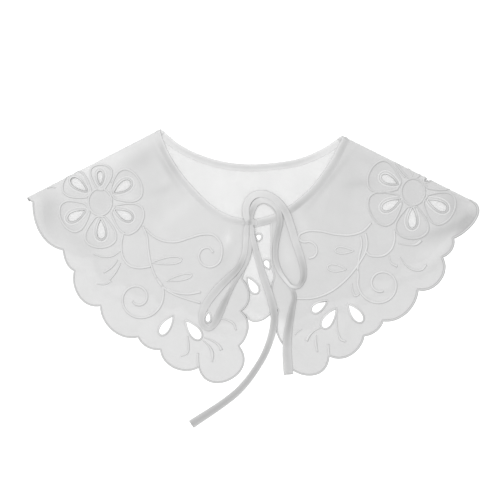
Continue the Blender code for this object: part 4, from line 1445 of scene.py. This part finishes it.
class Front:
    """One front: its panel, its embroidery, its edging and its neck binding."""

    def __init__(self, pattern: Pattern, reach: BackReach) -> None:
        """Work out the front's lines on the flat cloth from its pattern.

        Args:
            pattern: what the front is cut and stitched by.
            reach: how far the back reaches under it.
        """
        self.pattern = pattern
        self.inner = pattern.side.value
        self.word = pattern.side.name.lower()
        self.fold = Fold(tuple(pattern.neck[0]), pattern.tip)
        self.lay = FrontLay(self.fold, reach, pattern.creases)
        first = np.array(pattern.neck[0])
        run = UNDER_LENGTH + float(self.fold.depth(first)[0])
        under = first - self.fold.inward * run - self.fold.along * run * pattern.slant
        self.neckline = smooth_rows([tuple(under)] + list(pattern.neck), EDGE_STEP)
        self.hem = hem_line(pattern.hem, pattern.hem_end, EDGE_STEP)
        self.centre = np.array(pattern.centre)
        self.tip = np.array([pattern.tip])
        self.under_tip = self.fold.at_depth(self.tip, -UNDER_LENGTH)
        self.holes = teardrops(pattern.eyelets) + pattern.flower.eyelets()

    def panel(self) -> Panel:
        """The panel of sheer cloth, with its soft bands of painted shade and light and its own tone
        between them.

        Returns:
            The panel, not yet made.
        """
        neck = offset_line(self.neckline, self.inner * UNDER_BINDING)
        neck[0] = self.fold.at_depth(neck[0], -UNDER_LENGTH)[0]
        neck = neck[(neck[:, 0] - self.centre[0, 0]) * self.inner > -CORNER_GAP]
        parts = [neck, evenly(self.centre, EDGE_STEP), self.hem[::-1]]
        if np.linalg.norm(self.hem[0] - self.tip[0]) > CORNER_GAP:
            parts.append(self.tip)
        ring = np.vstack(parts + [self.under_tip])
        overrun = self.fold.along * FOLD_OVERRUN
        line = evenly(np.array([self.fold.neck - overrun, self.fold.tip + overrun]), MESH_STEP)
        turns = -math.pi * FOLD_RADIUS * np.arange(FOLD_ROWS + 1) / FOLD_ROWS
        guides = [self.fold.at_depth(line, turn) for turn in turns]
        return Panel("front_cloth_" + self.word, "front_" + self.word, ring, self.holes, guides, self.lay,
                     self.pattern.shades, self.pattern.close, self.pattern.flower.outlines())

    def embroidery(self, material: bpy.types.Material) -> bpy.types.Object:
        """The flower, scrolls, drops and strokes of this front.

        Args:
            material: the stitches' finish.

        Returns:
            The piece.
        """
        draft = Draft()
        self.pattern.flower.stitch(draft, self.lay)
        for rows in self.pattern.lines:
            line = evenly(smooth_rows(rows, LINE_CURVE), EDGE_STEP)
            thread(draft, line, LINE_WIDTH, THREAD_HEIGHT, self.lay)
        for drop in teardrops(self.pattern.drops):
            ring = evenly(drop, EDGE_STEP, closed=True)
            thread(draft, ring, DROP_WIDTH, THREAD_HEIGHT, self.lay, True)
        for rows in self.pattern.strokes:
            line = evenly(smooth_rows(rows, STROKE_CURVE), STROKE_STEP)
            thread(draft, line[:, :2], line[:, 2], STROKE_HEIGHT, self.lay)
        return draft.build("embroidery_" + self.word, material)

    def edging(self, material: bpy.types.Material) -> bpy.types.Object:
        """The satin-stitched scallops, the centre edge and the rims of the eyelets.

        Args:
            material: the stitches' finish.

        Returns:
            The piece.
        """
        draft = Draft()
        start = evenly(np.vstack((self.under_tip, self.tip)), EDGE_STEP)
        edge = np.vstack((start[:-1], self.hem, evenly(self.centre[::-1], EDGE_STEP)[1:]))
        keep = np.concatenate(([True], np.linalg.norm(np.diff(edge, axis=0), axis=1) > SAME_SPOT))
        edge = offset_line(edge[keep], -self.inner * HEM_OFFSET)
        width = np.interp(edge[:, 0], *HEM_WIDTHS)
        # Painted shade along the hem: heavier towards the right tip, fainter high on the centre edges
        shade = np.interp(edge[:, 0], *HEM_SHADE)
        shade *= np.where(np.abs(edge[:, 0]) < CENTRE_REACH, np.interp(edge[:, 1], *CENTRE_SHADE), 1.0)
        thread(draft, edge, width, THREAD_HEIGHT, self.lay, False, DARK_CROWN, shade, 1.0)
        for hole in self.holes:
            rim = offset_line(evenly(hole, RIM_STEP, closed=True), RIM_OFFSET, True)
            # Painted shade on each rim, darker on the side away from the light
            away = rim - rim.mean(axis=0)
            dusk = (1.0 - away @ TO_LIGHT / np.linalg.norm(away, axis=1)) / 2
            crown = np.interp(dusk, (0.0, 1.0), RIM_CROWNS)
            shade = np.interp(dusk, (0.0, 1.0), RIM_SHADES)
            thread(draft, rim, RIM_WIDTH, THREAD_HEIGHT, self.lay, True, crown, shade, 1.0)
        return draft.build("edging_" + self.word, material)

    def neck_binding(self, material: bpy.types.Material) -> bpy.types.Object:
        """The binding of this front's neck edge.

        Args:
            material: its cloth.

        Returns:
            The piece.
        """
        line = self.neckline.copy()
        line[0] = self.fold.at_depth(line[0], -UNDER_LENGTH)[0]
        ahead = (line[-1] - line[-2]) / np.linalg.norm(line[-1] - line[-2])
        line = np.vstack((line, line[-1] + ahead * INTO_KNOT / 2, line[-1] + ahead * INTO_KNOT))
        return self.pattern.binding.build(line, self.inner, self.lay, material)


class Back:
    """The back: its panel, edging and neck binding, flat on the surface."""

    def __init__(self, folds: Sequence[Fold]) -> None:
        """Work out the back's lines on the flat cloth, between the two shoulder folds.

        Args:
            folds: the left and the right shoulder fold.
        """
        self.lay = Lay()
        self.folds = folds
        self.neckline = smooth_rows(NECK_BACK, EDGE_STEP)
        self.hem = hem_line(BACK_HEM, BACK_HEM_END, EDGE_STEP)
        self.holes = teardrops(BACK_EYELETS)

    def trimmed(self, line: np.ndarray) -> np.ndarray:
        """The stretch of a line between the two shoulder folds.

        Args:
            line: a line from the picture's left to its right.

        Returns:
            That stretch, with its ends on the folds' own lines.
        """
        keep = np.min([fold.depth(line) for fold in self.folds], axis=0) > UNDER_RETURN
        line = line[keep]
        line[0] = self.folds[0].at_depth(line[0], UNDER_RETURN)[0]
        line[-1] = self.folds[1].at_depth(line[-1], UNDER_RETURN)[0]
        return line

    def panel(self) -> Panel:
        """The panel of sheer cloth.

        Returns:
            The panel, not yet made.
        """
        neck = self.trimmed(offset_line(self.neckline, -UNDER_BINDING))
        left = self.folds[0].at_depth(self.hem[0], UNDER_RETURN)
        right = self.folds[1].at_depth(self.hem[-1], UNDER_RETURN)
        ring = np.vstack((neck, right, self.hem[::-1], left))
        return Panel("back_cloth", "back_panel", ring, self.holes, [], self.lay, BACK_SHADES)

    def edging(self, material: bpy.types.Material) -> bpy.types.Object:
        """The satin-stitched scallops and the rims of the eyelets.

        Args:
            material: the stitches' finish.

        Returns:
            The piece.
        """
        draft = Draft()
        edge = offset_line(self.hem, HEM_OFFSET)
        thread(draft, edge, HEM_WIDTH, BACK_THREAD_HEIGHT, self.lay, False, DARK_CROWN)
        for hole in self.holes:
            rim = offset_line(evenly(hole, RIM_STEP, closed=True), RIM_OFFSET, True)
            thread(draft, rim, RIM_WIDTH, BACK_THREAD_HEIGHT, self.lay, True, DARK_CROWN)
        return draft.build("edging_back", material)

    def neck_binding(self, material: bpy.types.Material) -> bpy.types.Object:
        """The binding of the back neck."""
        return BACK_BINDING.build(self.trimmed(self.neckline), -1.0, self.lay, material)


# The bow

# A pressed tie's section, clockwise from its folded left edge to its stitched right one:
# share of half the width, share of the thickness
TIE_SECTION = (
    (-1.0, 0.12), (-0.98, 0.24), (-0.86, 0.42), (-0.5, 0.62), (0.0, 0.7), (0.4, 0.65), (0.64, 0.56),
    (0.71, 0.52), (0.78, 0.5), (0.9, 0.36), (0.98, 0.24), (1.0, 0.12), (0.9, 0.03), (0.0, 0.0),
    (-0.9, 0.03),
)
TIE_THICKNESS = 1.0
TIE_STEP = 1.5
# How much lighter a strand looks at its edges than in its middle: partly its thinner fold, with no seam
# allowance inside, and partly painted light
TIE_EDGE = 0.55
# The lowest underside, and by what share of their height above it the strands are pressed down
TIE_LOWEST = 0.3
TIE_PRESS = 0.26
# Slow waves that tilt a strand: length and height
TIE_WAVES = ((31.0, 0.12), (13.0, 0.05))
# For a strand that is nowhere spread wider, or nowhere sags
LEVEL = ((0.0, 0.0), (1.0, 0.0))


@dataclass(frozen=True)
class Tie:
    """A strand of the bow.

    Attributes:
        name: the piece's name, which follows "tie_" in its solid's.
        far_end: what is at its far end; it is not used.
        route: rows of x, y, underside and width.
        tones: share of its length and its painted shade there, darker where the strand turns over or lies
            on edge.
        spread: share of its length and how much wider its folds are spread, where two strands
            lie against each other.
        sag: share of its length and how far it hangs down, where only the back lies under it.
    """

    name: str
    far_end: str
    route: Rows
    tones: Rows
    spread: Rows = LEVEL
    sag: Rows = LEVEL

    def build(self, material: bpy.types.Material) -> bpy.types.Object:
        """Args:
            material: its cloth.

        Returns:
            The piece.
        """
        rows = smooth_rows(self.route, TIE_STEP)
        line = rows[:, :2]
        side = sides(line, False)
        run = run_along(line)
        rows[:, 2] -= (rows[:, 2] - TIE_LOWEST) * TIE_PRESS
        rows[:, 2] -= at_stops(run, self.sag)
        rows[:, 3] += at_stops(run, self.spread)
        # Painted shade along the strand
        tone = at_stops(run, self.tones)
        tilt = sum(height * np.sin(2 * math.pi * run / length + index)
                   for index, (length, height) in enumerate(TIE_WAVES))
        lines = []
        for across, up in TIE_SECTION:
            spots = line + side * rows[:, 3:4] / 2 * across
            points = np.column_stack((spots, rows[:, 2] + up * TIE_THICKNESS + tilt * across))
            places = np.column_stack((run, rows[:, 3] / 2 * across)) * MM
            # Lighter towards the edges: partly the thinner fold, partly painted light
            lines.append((points, places, tone * (1.0 - TIE_EDGE * across**2)))
        draft = Draft()
        loft(draft, lines, False)
        piece = draft.build(self.name, material)
        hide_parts("tie_" + self.name)
        return piece


STRANDS = (
    Tie("loop_left", "object", LEFT_LOOP, tones=(
        (0.0, 0.36), (0.06, 0.22), (0.12, 0.32), (0.185, 0.68), (0.25, 0.52), (0.32, 0.42),
        (0.42, 0.27), (0.485, 0.5), (0.515, 0.35), (0.59, 0.66), (0.65, 0.74), (0.7, 0.65),
        (0.8, 0.45), (0.89, 0.3), (0.945, 0.25), (1.0, 0.42),
    )),
    Tie("loop_right", "object", RIGHT_LOOP, tones=(
        (0.0, 0.2), (0.1, 0.13), (0.17, 0.17), (0.2, 0.28), (0.24, 0.48), (0.29, 0.32),
        (0.355, 0.23), (0.41, 0.47), (0.46, 0.66), (0.495, 0.84), (0.52, 0.55), (0.545, 0.05),
        (0.576, 0.08), (0.62, 0.37), (0.665, 0.54), (0.76, 0.68), (0.806, 0.62), (0.843, 0.3),
        (0.905, 0.1), (0.933, 0.3), (0.96, 0.6), (1.0, 0.45),
    ), spread=(
        (0.0, 0.4), (0.04, 1.2), (0.1, 1.2), (0.3, 0.8), (0.38, 0.0), (0.84, 0.0), (0.9, 0.9),
        (0.97, 1.0), (1.0, 0.4),
    ), sag=(
        (0.0, 0.0), (0.05, 1.2), (0.22, 1.3), (0.29, 0.3), (0.33, 0.0), (0.84, 0.0), (0.88, 0.9),
        (0.97, 1.2), (1.0, 0.3),
    )),
    Tie("tail_right", "bare", RIGHT_TAIL, tones=(
        (0.0, 0.3), (0.06, 0.6), (0.12, 0.3), (0.55, 0.45), (0.587, 0.3), (0.62, 0.75),
        (0.73, 0.83), (0.8, 0.7), (0.88, 0.47), (1.0, 0.43),
    ), sag=((0.0, 0.0), (0.04, 1.2), (0.2, 1.2), (0.26, 0.0), (1.0, 0.0))),
    Tie("tail_left", "bare", LEFT_TAIL, tones=(
        (0.0, 0.4), (0.035, 0.28), (0.08, 0.33), (0.136, 0.46), (0.19, 0.37), (0.3, 0.46),
        (0.36, 0.58), (0.405, 0.72), (0.46, 0.64), (0.52, 0.6), (0.58, 0.67), (1.0, 0.7),
    ), sag=((0.0, 0.0), (0.03, 0.7), (0.08, 1.0), (0.12, 1.9), (0.2, 1.2), (0.28, 0.0), (1.0, 0.0))),
)

# The knot's sections along the neck edge, where it runs on into the bindings
KNOT_SECTIONS = (
    # x, y, half height in the picture, half thickness, middle's height, painted shade
    (-9.6, 31.0, 2.2, 0.5, 1.5, 0.3),
    (-8.0, 31.0, 2.5, 0.7, 1.9, 0.3),
    (-6.4, 31.0, 2.8, 1.2, 2.9, 0.35),
    (-4.6, 30.9, 2.8, 1.5, 3.3, 0.4),
    (-2.6, 30.8, 2.6, 1.6, 3.4, 0.75),
    (-0.6, 30.8, 2.8, 1.5, 3.2, 0.4),
    (1.2, 30.6, 2.9, 1.2, 2.8, 0.1),
    (2.8, 30.4, 2.7, 0.7, 1.9, 0.0),
    (4.2, 30.3, 2.4, 0.5, 1.5, 0.1),
)
KNOT_STEP = 0.5
KNOT_CORNERS = 24
# 2 for an oval section, and more for a squarer one
KNOT_SQUARENESS = 2.6
# Soft pleats along the wrap: share of its half height from the middle, width and depth
KNOT_PLEATS = ((-0.4, 0.16, 0.09), (0.35, 0.15, 0.12))


def knot(material: bpy.types.Material) -> bpy.types.Object:
    """The bow's knot: a low wrap of the tie over the strands, with soft pleats along it.

    Args:
        material: the tie's cloth.

    Returns:
        The knot.
    """
    rows = smooth_rows(KNOT_SECTIONS, KNOT_STEP)
    power = KNOT_SQUARENESS
    lines = []
    for angle in 2 * math.pi * np.arange(KNOT_CORNERS) / KNOT_CORNERS:
        cosine, sine = math.cos(angle), math.sin(angle)
        out = (abs(cosine) ** power + abs(sine) ** power) ** (-1.0 / power)
        across, up = out * cosine, out * sine
        dip = sum(depth * math.exp(-(((across - place) / width) ** 2))
                  for place, width, depth in KNOT_PLEATS)
        points = np.column_stack((
            rows[:, 0],
            rows[:, 1] + rows[:, 2] * across,
            rows[:, 4] + rows[:, 3] * up * (1.0 - dip),
        ))
        places = np.column_stack((rows[:, 0], rows[:, 2] * angle)) * MM
        # Painted shade, darkest in the knot's pinched middle and lighter towards its edges
        lines.append((points, places, rows[:, 5] * (1.0 - TIE_EDGE * across**2)))
    draft = Draft()
    loft(draft, lines, False)
    piece = draft.build("knot_wrap", material)
    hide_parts("knot")
    return piece


@dataclass(frozen=True)
class Studio:
    """The pale floor, the soft light and the camera.

    Attributes:
        floor_width: the floor's width in metres.
        floor_colour: its colour.
        surround: strength of the even white surround.
        key_place: where the key light stands, in metres.
        key_width: its width in metres.
        key_power: its power in watts.
        view_middle: the place that the camera looks down on, in the tables' millimetres.
        view_width: the width that it shows, in millimetres.
        lens: its focal length in millimetres.
        sensor: its sensor's width in millimetres.
    """

    floor_width: float = 12.0
    floor_colour: str = "#F7F7F7"
    surround: float = 0.5
    key_place: tuple[float, float, float] = (-0.4, 0.3, 3.5)
    key_width: float = 3.4
    key_power: float = 138.0
    view_middle: tuple[float, float] = (-2.22, 5.22)
    view_width: float = 450.0
    lens: float = 85.0
    sensor: float = 36.0

    def floor(self) -> None:
        """A plain white surface under the collar."""
        bpy.ops.mesh.primitive_plane_add(size=self.floor_width, location=(0.0, 0.0, 0.0))
        plane = bpy.context.object
        plane.name = "floor"
        material = bpy.data.materials.new("floor_white_card")
        material.use_nodes = True
        shader = material.node_tree.nodes["Principled BSDF"]
        shader.inputs["Base Color"].default_value = linear(self.floor_colour)
        shader.inputs["Roughness"].default_value = 0.9
        shader.inputs["Specular IOR Level"].default_value = 0.0
        plane.data.materials.append(material)

    def lights(self) -> None:
        """A soft key from the picture's upper left, and an even surround."""
        world = bpy.data.worlds.new("studio")
        bpy.context.scene.world = world
        world.use_nodes = True
        background = world.node_tree.nodes["Background"]
        background.inputs["Color"].default_value = (1.0, 1.0, 1.0, 1.0)
        background.inputs["Strength"].default_value = self.surround
        data = bpy.data.lights.new("key", "AREA")
        data.shape = "DISK"
        data.size = self.key_width
        data.energy = self.key_power
        key = bpy.data.objects.new("key", data)
        key.location = self.key_place
        key.rotation_euler = (-Vector(key.location)).to_track_quat("-Z", "Y").to_euler()
        bpy.context.scene.collection.objects.link(key)

    def camera(self) -> None:
        """A camera straight above, framed as the photograph is."""
        data = bpy.data.cameras.new("camera")
        data.lens = self.lens
        data.sensor_width = self.sensor
        camera = bpy.data.objects.new("camera", data)
        height = self.view_width * self.lens / self.sensor * MM
        camera.location = (self.view_middle[0] * MM, self.view_middle[1] * MM, height)
        bpy.context.scene.collection.objects.link(camera)
        bpy.context.scene.camera = camera

    def build(self) -> None:
        """Set the scene."""
        self.camera()
        self.floor()
        self.lights()
        bpy.context.scene.view_settings.view_transform = "Standard"


def main() -> None:
    logging.basicConfig(level=logging.INFO, format="%(message)s")
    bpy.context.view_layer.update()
    Studio().build()
    organza = FRONT_ORGANZA.material()
    satin = SATIN_STITCH.material()
    bound = BIAS_BINDING.material()
    tied = BIAS_TIE.material()
    reach = BackReach(hem_line(BACK_HEM, BACK_HEM_END, REACH_HEM_STEP))
    fronts = [Front(pattern, reach) for pattern in (LEFT_PATTERN, RIGHT_PATTERN)]
    back = Back([front.fold for front in fronts])
    panel = back.panel()
    cloth = panel.build(BACK_ORGANZA.material())
    back.edging(satin)
    back.neck_binding(bound)
    for front in fronts:
        panel = front.panel()
        cloth = panel.build(organza)
        trims = [front.edging(satin), front.embroidery(satin), front.neck_binding(bound)]
    knot(tied)
    for strand in STRANDS:
        strand.build(tied)


if __name__ == "__main__":
    main()
